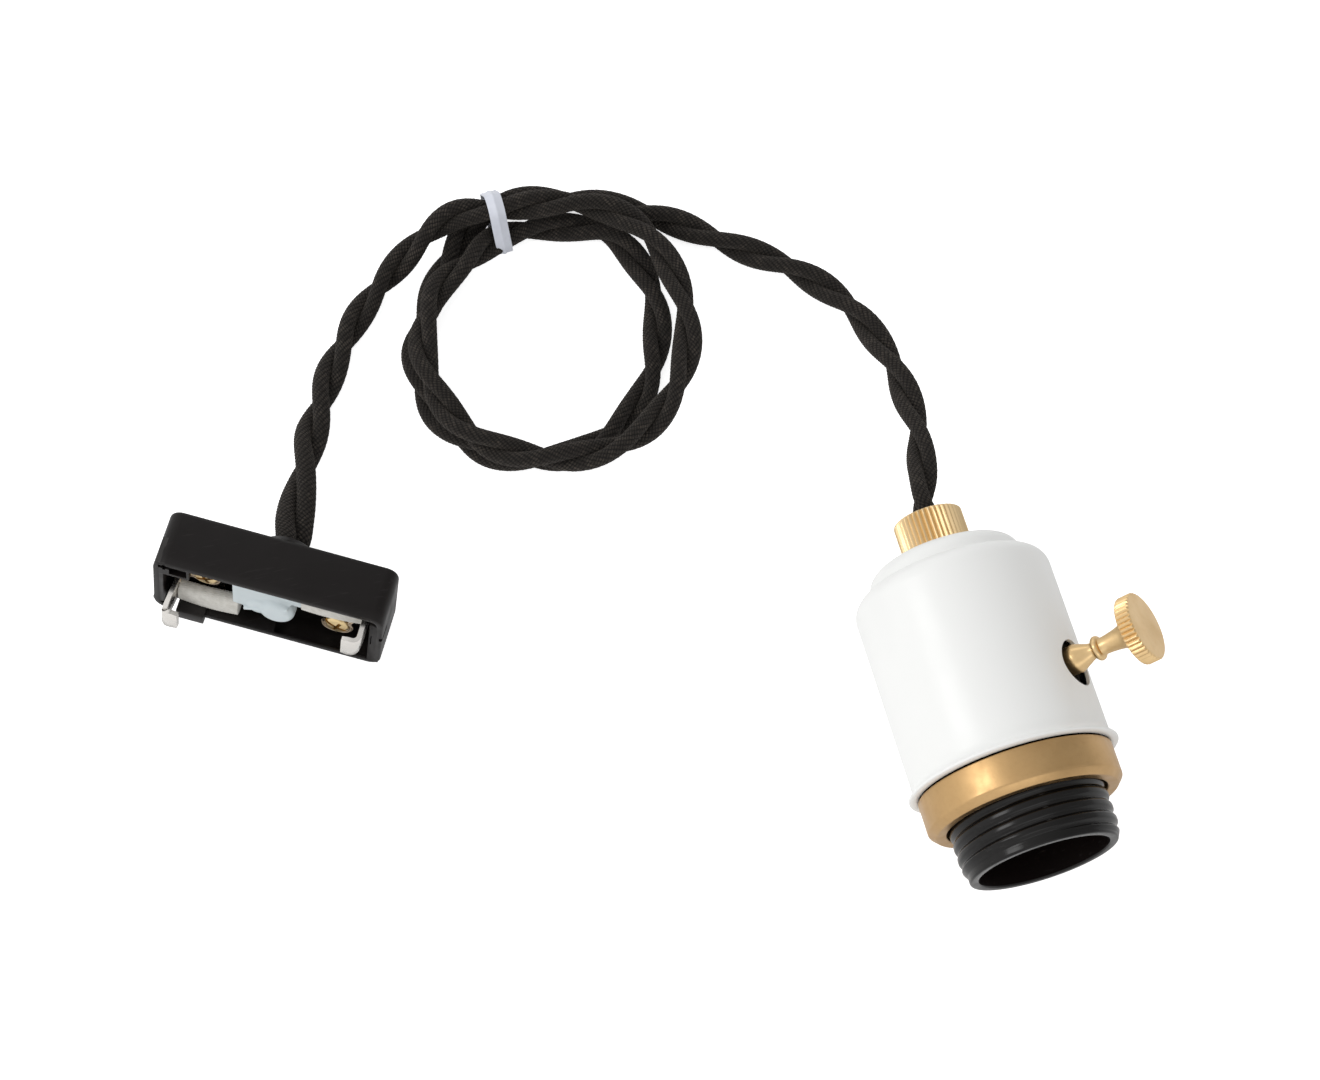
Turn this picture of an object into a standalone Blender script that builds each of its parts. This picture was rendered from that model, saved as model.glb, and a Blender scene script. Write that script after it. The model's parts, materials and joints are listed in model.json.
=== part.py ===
"""Pendant lamp cord set: a keyed E26 lampholder, a twisted fabric cord and a ceiling plug.

The set lies on a table (z = 0) with its cord coiled and tied.  +Z is up.  The lampholder's
axis is level and points along -Y.  The origin is on the table under the middle of the set's
bounding box.  Lengths below are in millimetres and are scaled to metres as meshes are made.
"""
import math

import bmesh
import bpy
from mathutils import Euler, Matrix, Vector

MM = 0.001
GAP = 0.3                      # air between pieces that meet
MERGE = 0.00001                # merge distance of modifiers, in metres

# ---- driving dimensions ------------------------------------------------------------------
SHIFT = Vector((10.01, -0.77, -0.1))            # layout to origin

LAMP_FLANGE = Vector((59.95, -81.6, 25.0))   # middle of the shell's open end
KEY_STATION = 18.2             # key axis above the flange
KEY_TILT = math.radians(35.0)  # key axis above the horizontal

SHELL_R = 23.45
SHELL_WALL = 0.9
SHELL_RIM_R = 25.0
SHELL_STEP_R = 18.4
SHELL_LEDGE_Z = 49.1           # ledge between the two steps of the shell
SHELL_TOP_Z = 54.2
SHELL_STEP_ROUND = 4.4
SHELL_ROUND = 4.6
KEY_HOLE_R = 5.65
KEY_HOLE_DROP = 0.85           # the hole's middle is this far below the key axis

THREAD_R = 18.5                # shade thread, major
THREAD_ROOT_R = 17.8
THREAD_PITCH = 3.0
THREAD_TURNS = 6
BODY_R = 22.0
LIP_R = 17.5
MOUTH_Z = -21.5
MOUTH_BORE_R = 15.35
BODY_TOP_Z = 11.0
BODY_FLOOR_Z = 7.0

RING_R = 23.0
RING_BORE_R = 18.95
RING_HEIGHT = 9.1
RING_BEVEL = 1.6
WASHER_BORE_R = 20.6

NIPPLE_R = 5.0
NIPPLE_BORE_R = 4.2
NIPPLE_TOP_Z = 59.6
NUT_R = 8.25
NUT_TOP_Z = 64.7
NUT_MOUTH_R = 4.9
CORD_END_Z = 63.6              # cord ends here inside the gland nut

KEY_DISC_R = 8.15
KEY_DISC_T = 3.6
KEY_FACE = 41.9                # outer face of the key, from the lamp axis
KEY_ROOT = 21.0
SPINDLE_R = 1.9
ROTOR_R = 5.0
ROTOR_HALF = 5.0               # half the rotor's length along the key axis
ROTOR_CONTACT_AT = -5.7        # contact plates along the key axis
FIXED_CONTACT_AT = -6.9
CONTACT_T = 0.7
SPINDLE_END = -7.4
SPINDLE_BUSH_R = 4.3
SPINDLE_BUSH_FROM = 15.9
SPINDLE_BUSH_TO = 20.2

SWITCH_R = 21.3
SWITCH_TOP_Z = 31.0
SWITCH_ROOM_R = 6.3
SWITCH_ROOM_FROM = -9.0        # the rotor's room along the key axis
SWITCH_ROOM_TO = 15.6
SWITCH_NECK_R = 4.6

CLAMP_SCREW_RING_R = 10.4      # assembly screws off the lamp axis
CLAMP_SCREW_R = 1.4
CLAMP_SCREW_HOLE_R = 1.8
CLAMP_SCREW_HEAD_R = 2.8
LAMP_TERMINAL_OFF = 13.5       # wire terminals off the lamp axis
LAMP_TERMINAL_Z = 31.7
LAMP_CORE_R = 1.0

LAMP_THREAD_R = 14.4           # rolled E26 lamp thread
LAMP_THREAD_ROOT_R = 13.7
LAMP_THREAD_PITCH = 3.6
LAMP_THREAD_TURNS = 4
LAMP_THREAD_WALL = 0.5
LAMP_SEAT_BORE_R = 8.0

CENTRE_HOLE_R = 4.0
CONTACT_TOP_Z = 5.4
CONTACT_PRESS = 1.5            # how far a lamp pushes the centre contact in
POST_HEAD_Z = 7.4
POST_TOP_Z = 10.7

PLUG_CENTRE = Vector((-90.2, 12.6, 14.5))
PLUG_YAW = math.radians(-29.6)
PLUG_PITCH = math.radians(-8.2)
PLUG_ROLL = math.radians(5.3)
PLUG_LONG = 55.4
PLUG_WIDE = 22.5
PLUG_DEEP = 14.5
PLUG_WALL = 1.6
PLUG_ROUND = 3.2
BOSS_R = 6.3
BOSS_BORE_R = 4.9
BOSS_HIGH = 3.5
BLADE_OUT = 23.6               # outer face of each blade from the middle
BLADE_T = 1.2
BLADE_WIDE = 7.0
BLADE_OFF = 5.25               # middle of each blade off the long centre line
BLADE_REACH = 5.7
BLADE_FOOT = 4.4
SCREW_X = 16.0
SCREW_Y = 3.25
TERMINAL_Z = 6.3               # front face of the blades' terminal plates
BASE_INNER = 12.2
WASHER_R = 3.5
WASHER_T = 0.7
PLUG_SCREW_HEAD_R = 3.0
PLUG_SCREW_HEAD_T = 2.2
PLUG_SCREW_R = 1.4
PLUG_POST_R = 3.6
PLUG_CORE_R = 0.9
SLEEVE_OFF = 6.0
SLEEVE_FROM = 8.4
SLEEVE_TO = 22.0
SLEEVE_DEPTH = 3.5

STRAND_R = 1.65
PAIR_R = 1.95                  # strand centres off the cord's centre line
PAIR_SPREAD = 0.7              # extra where the cord parts at the plug
SPREAD_LENGTH = 24.0
STRAND_STEP = 4.5
# the twist is tighter towards the plug: (length along the cord, half turns)
TWIST = ((0, -0.6), (12, -0.5), (27, 0), (97, 4), (197, 9), (391, 19), (583, 29), (621, 31),
         (663, 33), (700, 34.7))

LOOP_CENTRE = Vector((-13.0, 60.0))
LOW = 3.8                      # cord centre height on the table
HIGH = 11.0                    # cord centre height on top of another pass
TIE_X = -14.6
TIE_WIDE = 4.0
TIE_T = 0.5
TIE_SLACK = 0.9

# guide points of the cord: plug arm, two turns as (clock degrees, radius, height), lamp arm
PLUG_ARM = ((-82.1, 29.1, 11.5), (-76.6, 43.6, 7.5), (-69.5, 59.0, 4.6), (-58.3, 75.9, 4.0),
            (-44.5, 88.4, 5.6), (-26.0, 96.6, 11.8))
TURNS = ((-3, 35.4, 12.2), (30, 37.0, HIGH), (55, 38.3, 10.6), (85, 36.2, 10.4),
         (115, 35.8, 10.5), (150, 35.8, HIGH), (180, 33.5, HIGH), (220, 31.4, HIGH),
         (250, 29.5, HIGH), (280, 28.8, HIGH), (310, 28.2, 10.6), (335, 28.1, 8.5),
         (358, 31.4, 5.1), (380, 32.9, 3.9), (405, 34.8, LOW), (435, 31.2, LOW),
         (465, 28.2, LOW), (500, 28.0, LOW), (540, 29.6, LOW), (580, 30.8, LOW),
         (610, 31.2, LOW), (640, 31.0, LOW), (665, 30.0, LOW), (695, 34.4, LOW),
         (716, 39.8, 5.1))
LAMP_ARM = ((3.0, 97.3, 3.9), (22.7, 87.6, LOW), (38.8, 74.6, LOW), (52.7, 62.9, 4.2),
            (62.6, 48.0, 6.4), (66.7, 30.0, 11.0), (66.4, 11.0, 17.2), (63.0, -4.5, 23.0))


# ---- helpers -----------------------------------------------------------------------------
def clear_scene():
    for obj in list(bpy.data.objects):
        bpy.data.objects.remove(obj, do_unlink=True)


def new_collection(name):
    coll = bpy.data.collections.new(name)
    bpy.context.scene.collection.children.link(coll)
    return coll


def material(name, rgb, rough, metal=0.0):
    mat = bpy.data.materials.new(name)
    mat.use_nodes = True
    shader = mat.node_tree.nodes["Principled BSDF"]
    shader.inputs["Base Color"].default_value = (*rgb, 1.0)
    shader.inputs["Roughness"].default_value = rough
    shader.inputs["Metallic"].default_value = metal
    mat.diffuse_color = (*rgb, 1.0)
    return mat


def frame(name, location, rotation, parent=None):
    """An empty that carries a sub-assembly; location in mm, rotation a 3x3 matrix."""
    empty = bpy.data.objects.new(name, None)
    parts.objects.link(empty)
    empty.parent = parent
    empty.location = Vector(location) * MM
    empty.rotation_euler = rotation.to_euler()
    return empty


def place(obj, mat, parent, at=(0, 0, 0), turn=(0, 0, 0)):
    obj.data.materials.append(mat)
    parts.objects.link(obj)
    obj.parent = parent
    obj.location = Vector(at) * MM
    obj.rotation_euler = Euler([math.radians(a) for a in turn])
    return obj


def from_bmesh(name, bm):
    mesh = bpy.data.meshes.new(name)
    bm.to_mesh(mesh)
    bm.free()
    return bpy.data.objects.new(name, mesh)


def turned(name, profile, steps=24):
    """A solid turned about Z.  The profile is (radius, height) in mm, down the outer side.

    It closes on itself, unless both its ends lie on the axis.
    """
    mesh = bpy.data.meshes.new(name)
    count = len(profile)
    edges = [(i, i + 1) for i in range(count - 1)]
    if profile[0][0] > 0 or profile[-1][0] > 0:
        edges.append((count - 1, 0))
    mesh.from_pydata([(r * MM, 0, z * MM) for r, z in profile], edges, [])
    obj = bpy.data.objects.new(name, mesh)
    screw = obj.modifiers.new("turn", "SCREW")
    screw.axis = "Z"
    screw.angle = math.tau
    screw.steps = steps
    screw.render_steps = steps
    screw.use_merge_vertices = True
    screw.merge_threshold = MERGE
    screw.use_smooth_shade = True
    return obj


def rod(name, radius, low, high, steps=12, bore=0.0):
    """A plain turned rod, or a bush when bore is set."""
    if bore:
        return turned(name, [(radius, high), (radius, low), (bore, low), (bore, high)], steps)
    return turned(name, [(0, high), (radius, high), (radius, low), (0, low)], steps)


def block(name, size, bevel=0.0, segments=2):
    bm = bmesh.new()
    bmesh.ops.create_cube(bm, size=1.0)
    bmesh.ops.scale(bm, vec=Vector(size) * MM, verts=bm.verts)
    obj = from_bmesh(name, bm)
    if bevel:
        mod = obj.modifiers.new("round", "BEVEL")
        mod.width = bevel * MM
        mod.segments = segments
    return obj


def cushion_block(name, size, radius, segments=3):
    """A box whose four edges along Z are rounded."""
    bm = bmesh.new()
    bmesh.ops.create_cube(bm, size=1.0)
    bmesh.ops.scale(bm, vec=Vector(size) * MM, verts=bm.verts)
    upright = [e for e in bm.edges if abs(e.verts[0].co.z - e.verts[1].co.z) > MM]
    bmesh.ops.bevel(bm, geom=upright, offset=radius * MM, segments=segments, profile=0.5,
                    affect="EDGES")
    return from_bmesh(name, bm)


def plate(name, outlines, thickness):
    """A flat outline in XY, extruded along Z; outlines after the first are holes."""
    curve = bpy.data.curves.new(name, "CURVE")
    curve.dimensions = "2D"
    curve.fill_mode = "BOTH"
    curve.extrude = thickness * MM / 2
    for outline in outlines:
        spline = curve.splines.new("POLY")
        spline.points.add(len(outline) - 1)
        for point, (x, y) in zip(spline.points, outline):
            point.co = (x * MM, y * MM, 0, 1)
        spline.use_cyclic_u = True
    return bpy.data.objects.new(name, curve)


def wire(name, points, radius):
    curve = bpy.data.curves.new(name, "CURVE")
    curve.dimensions = "3D"
    curve.bevel_depth = radius * MM
    curve.bevel_resolution = 2
    curve.use_fill_caps = True
    spline = curve.splines.new("POLY")
    spline.points.add(len(points) - 1)
    for point, co in zip(spline.points, points):
        point.co = (*(Vector(co) * MM), 1)
    return bpy.data.objects.new(name, curve)


def tool(obj, parent, at=(0, 0, 0), turn=(0, 0, 0)):
    """Make an object a Boolean tool that the build leaves out."""
    tools.objects.link(obj)
    obj.parent = parent
    obj.location = Vector(at) * MM
    obj.rotation_euler = Euler([math.radians(a) for a in turn])
    obj.hide_render = True
    obj.display_type = "WIRE"
    return obj


def boolean(obj, other, operation="DIFFERENCE"):
    mod = obj.modifiers.new(operation.lower(), "BOOLEAN")
    mod.operation = operation
    mod.solver = "EXACT"
    mod.object = other
    return obj


def arc(cx, cy, radius, start, end, count):
    """Points on an arc, in degrees, both ends included."""
    step = math.radians(end - start) / count
    first = math.radians(start)
    return [(cx + radius * math.cos(first + i * step), cy + radius * math.sin(first + i * step))
            for i in range(count + 1)]


def circle(cx, cy, radius, count=10):
    return arc(cx, cy, radius, 0, 360 - 360 / count, count - 1)


# ---- cord --------------------------------------------------------------------------------
def catmull(points, step):
    """Centripetal Catmull-Rom curve through points, sampled about every step mm."""
    ends = [points[0] * 2 - points[1], *points, points[-1] * 2 - points[-2]]
    out = [points[0].copy()]
    for p0, p1, p2, p3 in zip(ends, ends[1:], ends[2:], ends[3:]):
        t1 = (p1 - p0).length ** 0.5
        t2 = t1 + (p2 - p1).length ** 0.5
        t3 = t2 + (p3 - p2).length ** 0.5
        count = max(2, round((p2 - p1).length / step))
        for i in range(1, count + 1):
            t = t1 + (t2 - t1) * i / count
            a1 = p0 * ((t1 - t) / t1) + p1 * (t / t1)
            a2 = p1 * ((t2 - t) / (t2 - t1)) + p2 * ((t - t1) / (t2 - t1))
            a3 = p2 * ((t3 - t) / (t3 - t2)) + p3 * ((t - t2) / (t3 - t2))
            b1 = a1 * ((t2 - t) / t2) + a2 * (t / t2)
            b2 = a2 * ((t3 - t) / (t3 - t1)) + a3 * ((t - t1) / (t3 - t1))
            out.append(b1 * ((t2 - t) / (t2 - t1)) + b2 * ((t - t1) / (t2 - t1)))
    return out


def resample(points, step):
    """Points at equal steps along a polyline, with the arc length of each."""
    lengths = [0.0]
    for a, b in zip(points, points[1:]):
        lengths.append(lengths[-1] + (b - a).length)
    count = round(lengths[-1] / step)
    out = []
    seg = 0
    for i in range(count + 1):
        s = lengths[-1] * i / count
        while seg < len(points) - 2 and lengths[seg + 1] < s:
            seg += 1
        part = (s - lengths[seg]) / (lengths[seg + 1] - lengths[seg])
        out.append((s, points[seg].lerp(points[seg + 1], part)))
    return out


def turn_point(clock, radius, height):
    angle = math.radians(clock)
    return Vector((LOOP_CENTRE.x + radius * math.sin(angle),
                   LOOP_CENTRE.y + radius * math.cos(angle), height))


def cord_line():
    """Centre line of the cord, from inside the plug's boss to inside the gland nut."""
    back = plug_rotation() @ Vector((0, 0, 1))
    outlet = PLUG_CENTRE + back * (PLUG_DEEP / 2 + BOSS_HIGH - 1.2)
    line = [outlet, outlet + back * 4.0]
    line += [Vector(p) for p in PLUG_ARM]
    line += [turn_point(*t) for t in TURNS]
    line += [Vector(p) for p in LAMP_ARM]
    inlet = LAMP_FLANGE + Vector((0, CORD_END_Z, 0))
    line += [inlet + Vector((0, 4.5, 0)), inlet]
    return resample(catmull(line, 1.0), STRAND_STEP)


def half_turns(s):
    """Half turns of the pair at a length along the cord."""
    for (s0, n0), (s1, n1) in zip(TWIST, TWIST[1:]):
        if s <= s1:
            break
    return n0 + (n1 - n0) * (s - s0) / (s1 - s0)


def strand_points(line, side):
    """One strand of the S-twisted pair."""
    out = []
    for i, (s, here) in enumerate(line):
        before = line[max(i - 1, 0)][1]
        after = line[min(i + 1, len(line) - 1)][1]
        along = (after - before).normalized()
        across = along.cross(Vector((0, 0, 1))).normalized()
        up = across.cross(along)
        angle = (half_turns(s) + 0.5 + side) * math.pi
        radius = PAIR_R + PAIR_SPREAD * max(0.0, 1 - s / SPREAD_LENGTH)
        out.append(here + (across * math.cos(angle) + up * math.sin(angle)) * radius)
    return out


def make_cord():
    line = cord_line()
    for side, name in enumerate(("cord_strand_a", "cord_strand_b")):
        place(wire(name, strand_points(line, side), STRAND_R), BLACK_CLOTH, world)


def make_tie():
    """A band drawn tight around the three passes of the bundle."""
    reach = PAIR_R + STRAND_R + TIE_SLACK
    clocks = (TURNS[0], TURNS[12], TURNS[-1])
    corners = [turn_point(*t) for t in clocks]
    top, near, far = [Vector((p.y, p.z)) for p in corners]
    loop = (near, far, top)
    outer = []
    inner = []
    for i, corner in enumerate(loop):
        into = corner - loop[i - 1]
        out_of = loop[(i + 1) % 3] - corner
        start = math.degrees(math.atan2(-into.x, into.y))
        sweep = math.degrees(into.angle_signed(out_of)) * -1
        outer += arc(corner.x, corner.y, reach + TIE_T, start, start + sweep, 6)
        inner += arc(corner.x, corner.y, reach, start, start + sweep, 6)
    band = plate("coil_tie", (outer, inner), TIE_WIDE)
    place(band, TIE_WHITE, world, at=(TIE_X, 0, 0), turn=(90, 0, 90))


# ---- lampholder --------------------------------------------------------------------------
def lamp_rotation():
    return Matrix.Rotation(math.radians(-90), 3, "X")


def shell_profile(inset):
    """Outer side of the shell, moved inwards by inset, from the top hole to the rim."""
    step_arc = arc(SHELL_STEP_R - SHELL_STEP_ROUND, SHELL_TOP_Z - SHELL_STEP_ROUND,
                   SHELL_STEP_ROUND - inset, 90, 10, 5)
    root = (SHELL_STEP_R + 0.25 - inset, SHELL_LEDGE_Z + 0.3 - inset)
    ledge_arc = arc(SHELL_R - SHELL_ROUND, SHELL_LEDGE_Z - SHELL_ROUND,
                    SHELL_ROUND - inset, 80, 0, 5)
    return step_arc + [root] + ledge_arc


def make_shell():
    hole = NIPPLE_R + GAP
    outer = [(hole, SHELL_TOP_Z)] + shell_profile(0.0)
    outer += [(SHELL_R, 2.6), (SHELL_R + 0.5, 1.5), (SHELL_RIM_R, 0.9), (SHELL_RIM_R, 0.0)]
    inner = [(hole, SHELL_TOP_Z - SHELL_WALL)] + shell_profile(SHELL_WALL)
    inner += [(SHELL_R - SHELL_WALL, 0.0)]
    shell = turned("shell_cover", outer + inner[::-1], 30)
    place(shell, WHITE_PAINT, lamp)
    drill = rod("key_hole_cutter", KEY_HOLE_R, 15, 32, 20)
    boolean(shell, tool(drill, key, at=(KEY_HOLE_DROP, 0, 0)))


def thread_profile():
    """Crests and roots of the shade thread, going down."""
    out = []
    for turn in range(THREAD_TURNS):
        top = -1.4 - turn * THREAD_PITCH
        out += [(THREAD_ROOT_R, top), (THREAD_R, top - 0.8), (THREAD_R, top - 1.7),
                (THREAD_ROOT_R, top - 2.5)]
    return out


def make_threaded_body():
    outer = [(BODY_R, BODY_TOP_Z), (BODY_R, 1.2), (THREAD_ROOT_R, 1.2)] + thread_profile()
    outer += [(LIP_R, -19.4), (LIP_R, MOUTH_Z + 0.6), (LIP_R - 0.6, MOUTH_Z)]
    inner = [(MOUTH_BORE_R, MOUTH_Z), (MOUTH_BORE_R, BODY_FLOOR_Z),
             (CENTRE_HOLE_R, BODY_FLOOR_Z), (CENTRE_HOLE_R, BODY_TOP_Z)]
    body = turned("threaded_body", outer + inner, 30)
    place(body, BLACK_RESIN, lamp)
    for side in (-1, 1):
        drill = rod("body_screw_cutter", CLAMP_SCREW_HOLE_R, -30, 30, 10)
        boolean(body, tool(drill, lamp, at=screw_spot(side)))


def screw_spot(side):
    """Assembly screws sit square to the key axis, inside the screw shell's seat."""
    reach = side * CLAMP_SCREW_RING_R
    return (reach * math.sin(KEY_TILT), reach * math.cos(KEY_TILT), 0)


def make_screw_shell():
    """Rolled E26 lamp thread with a seat that the assembly screws hold."""
    top = BODY_FLOOR_Z - GAP
    wall = LAMP_THREAD_WALL
    pitch = LAMP_THREAD_PITCH
    outer = [(LAMP_THREAD_R, top), (LAMP_THREAD_R, top - 2.0)]
    for turn in range(1, LAMP_THREAD_TURNS + 1):
        outer += [(LAMP_THREAD_ROOT_R, top - turn * pitch),
                  (LAMP_THREAD_R, top - (turn + 0.5) * pitch)]
    inner = [(r - wall, z) for r, z in outer[1:]][::-1]
    inner += [(LAMP_THREAD_R - wall, top - wall), (LAMP_SEAT_BORE_R, top - wall),
              (LAMP_SEAT_BORE_R, top)]
    shell = turned("lamp_screw_shell", outer + inner, 20)
    place(shell, NICKEL, lamp)
    for side in (-1, 1):
        drill = rod("seat_cutter", CLAMP_SCREW_HOLE_R, 5, 15, 10)
        boolean(shell, tool(drill, lamp, at=screw_spot(side)))


def make_switch_blocks():
    """Two resin blocks that close on the switch at the key axis."""
    blocks = (("switch_base", BODY_TOP_Z + GAP, KEY_STATION - GAP / 2),
              ("switch_cover", KEY_STATION + GAP / 2, SWITCH_TOP_Z))
    for name, low, high in blocks:
        disc = rod(name, SWITCH_R, low, high, 28)
        place(disc, BLACK_RESIN, lamp)
        room = rod(name + "_room_cutter", SWITCH_ROOM_R, SWITCH_ROOM_FROM, SWITCH_ROOM_TO, 16)
        boolean(disc, tool(room, key))
        neck = rod(name + "_neck_cutter", SWITCH_NECK_R, SWITCH_ROOM_TO - 3.6, 30.0, 16)
        boolean(disc, tool(neck, key))
        for side in (-1, 1):
            drill = rod(name + "_screw_cutter", CLAMP_SCREW_HOLE_R, -30, 60, 10)
            boolean(disc, tool(drill, lamp, at=screw_spot(side)))


def make_assembly_screws():
    for side, name in ((-1, "assembly_screw_left"), (1, "assembly_screw_right")):
        x, y, _ = screw_spot(side)
        low = BODY_FLOOR_Z - 2.0
        seat = SWITCH_TOP_Z + GAP
        top = seat + 1.9
        screw = turned(name, [(0, top), (CLAMP_SCREW_HEAD_R - 0.6, top),
                              (CLAMP_SCREW_HEAD_R, top - 0.6), (CLAMP_SCREW_HEAD_R, seat),
                              (CLAMP_SCREW_R, seat), (CLAMP_SCREW_R, low), (0, low)], 12)
        place(screw, BRASS, lamp, at=(x, y, 0))


def make_terminals():
    """Two wire terminals on top of the switch, along the key's direction."""
    for side, name in ((-1, "neutral"), (1, "live")):
        x = side * LAMP_TERMINAL_OFF * math.cos(KEY_TILT)
        y = -side * LAMP_TERMINAL_OFF * math.sin(KEY_TILT)
        angle = -math.degrees(KEY_TILT)
        hole = circle(0, 0, 1.9)
        strip = plate("lamp_terminal_" + name,
                      ([(-4, -3.5), (4, -3.5), (4, 3.5), (-4, 3.5)], hole), 0.8)
        place(strip, BRASS, lamp, at=(x, y, LAMP_TERMINAL_Z), turn=(0, 0, angle))
        screw = turned("lamp_terminal_screw_" + name,
                       [(0, 34.6), (2.3, 34.6), (2.9, 34.1), (2.9, 32.4), (1.5, 32.4),
                        (1.5, 31.3), (0, 31.3)], 12)
        place(screw, BRASS, lamp, at=(x, y, 0))


def make_centre_contact():
    """Dished contact for the lamp's eyelet, and the post it is pushed towards."""
    top = CONTACT_TOP_Z
    leaf = turned("centre_contact", [(0, top), (5.0, top), (5.0, top - 0.5), (1.8, top - 2.4),
                                     (0, top - 2.4)], 16)
    place(leaf, BRASS, lamp)
    low = CONTACT_TOP_Z + CONTACT_PRESS + 0.15
    post = turned("contact_post", [(0, POST_TOP_Z), (3.4, POST_TOP_Z), (3.4, POST_HEAD_Z),
                                   (1.2, POST_HEAD_Z), (1.2, low), (0, low)], 12)
    place(post, BRASS, lamp)


def make_switch():
    """Everything on the key's axis; local Z points out of the shell."""
    place(rod("key_spindle", SPINDLE_R, SPINDLE_END, KEY_ROOT - GAP), BRASS, key)
    rotor = rod("switch_rotor", ROTOR_R, -ROTOR_HALF, ROTOR_HALF, 16, SPINDLE_R + GAP)
    place(rotor, BLACK_RESIN, key)
    hole = circle(0, 0, SPINDLE_R + GAP)
    bridge = plate("rotor_contact", ([(-5, -3), (5, -3), (5, 3), (-5, 3)], hole), CONTACT_T)
    place(bridge, BRASS, key, at=(0, 0, ROTOR_CONTACT_AT))
    bush = rod("spindle_bush", SPINDLE_BUSH_R, SPINDLE_BUSH_FROM, SPINDLE_BUSH_TO, 16,
               SPINDLE_R + GAP)
    place(bush, BRASS, key)
    spring = block("index_spring", (4.4, 0.3, 7.0))
    place(spring, STEEL, key, at=(0, ROTOR_R + 0.55, 0))
    for side, name in ((-1, "fixed_contact_lower"), (1, "fixed_contact_upper")):
        pad = block(name, (3.0, 4.0, CONTACT_T))
        place(pad, BRASS, key, at=(side * 4.2, 0, FIXED_CONTACT_AT))


def make_key():
    face = KEY_FACE
    back = KEY_FACE - KEY_DISC_T
    profile = [(0, face), (KEY_DISC_R - 0.3, face), (KEY_DISC_R, face - 0.3),
               (KEY_DISC_R, back + 0.3), (KEY_DISC_R - 0.3, back), (4.4, back),
               (3.4, back - 1.2), (2.7, back - 3.0), (2.2, back - 5.2), (2.05, back - 7.4)]
    bead = arc(1.95, back - 8.9, 0.95, 75, -75, 4)
    profile += bead + [(1.8, back - 10.1), (2.2, back - 11.6), (3.35, back - 14.4),
                       (3.3, KEY_ROOT), (0, KEY_ROOT)]
    place(turned("key_knob", profile, 22), BRASS, key)


def make_shade_ring():
    top = -GAP
    low = top - RING_HEIGHT
    ring = turned("shade_ring", [(RING_R, top), (RING_R, low + RING_BEVEL),
                                 (RING_R - RING_BEVEL, low), (RING_BORE_R, low),
                                 (RING_BORE_R, top - 1.4), (WASHER_BORE_R + 1.2, top - 1.4),
                                 (WASHER_BORE_R + 1.2, top)], 30)
    place(ring, AGED_BRASS, lamp)
    washer = rod("ring_washer", WASHER_BORE_R + 0.9, top - 1.1, top - 0.1, 28, RING_BORE_R)
    place(washer, FIBRE, lamp)


def make_gland():
    seat = SHELL_TOP_Z - SHELL_WALL - GAP
    nipple = [(NIPPLE_R, NIPPLE_TOP_Z), (NIPPLE_R, seat), (8.5, seat), (8.5, seat - 3.0),
              (NIPPLE_BORE_R, seat - 3.0), (NIPPLE_BORE_R, NIPPLE_TOP_Z)]
    place(turned("gland_nipple", nipple, 20), BRASS, lamp)
    low = SHELL_TOP_Z + GAP
    room = NIPPLE_R + 0.5
    nut = [(NUT_R - 0.3, NUT_TOP_Z), (NUT_R, NUT_TOP_Z - 0.3), (NUT_R, low), (room, low),
           (room, 62.4), (NUT_MOUTH_R, 62.4), (NUT_MOUTH_R, NUT_TOP_Z - 0.5),
           (NUT_MOUTH_R + 0.5, NUT_TOP_Z)]
    place(turned("gland_nut", nut, 24), BRASS, lamp)
    bush = rod("gland_bush", room - GAP, NIPPLE_TOP_Z + GAP, 62.1, 20, NIPPLE_BORE_R)
    place(bush, RUBBER, lamp)


def make_lamp_cores():
    for side, name in ((-1, "lamp_core_neutral"), (1, "lamp_core_live")):
        cos = side * math.cos(KEY_TILT)
        sin = -side * math.sin(KEY_TILT)
        route = ((1.9, 63.0), (1.9, 50.0), (4.0, 44.0), (9.2, 39.0), (12.2, 36.6))
        points = [(r * cos, r * sin, z) for r, z in route]
        place(wire(name, points, LAMP_CORE_R), CORE_WHITE, lamp)


# ---- plug --------------------------------------------------------------------------------
def plug_rotation():
    """Local X along the plug, local Z from its open front to the cord."""
    pose = (Matrix.Rotation(PLUG_YAW, 3, "Z") @ Matrix.Rotation(PLUG_PITCH, 3, "X")
            @ Matrix.Rotation(PLUG_ROLL, 3, "Y"))
    return pose @ Matrix.Rotation(math.radians(-90), 3, "X")


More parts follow.
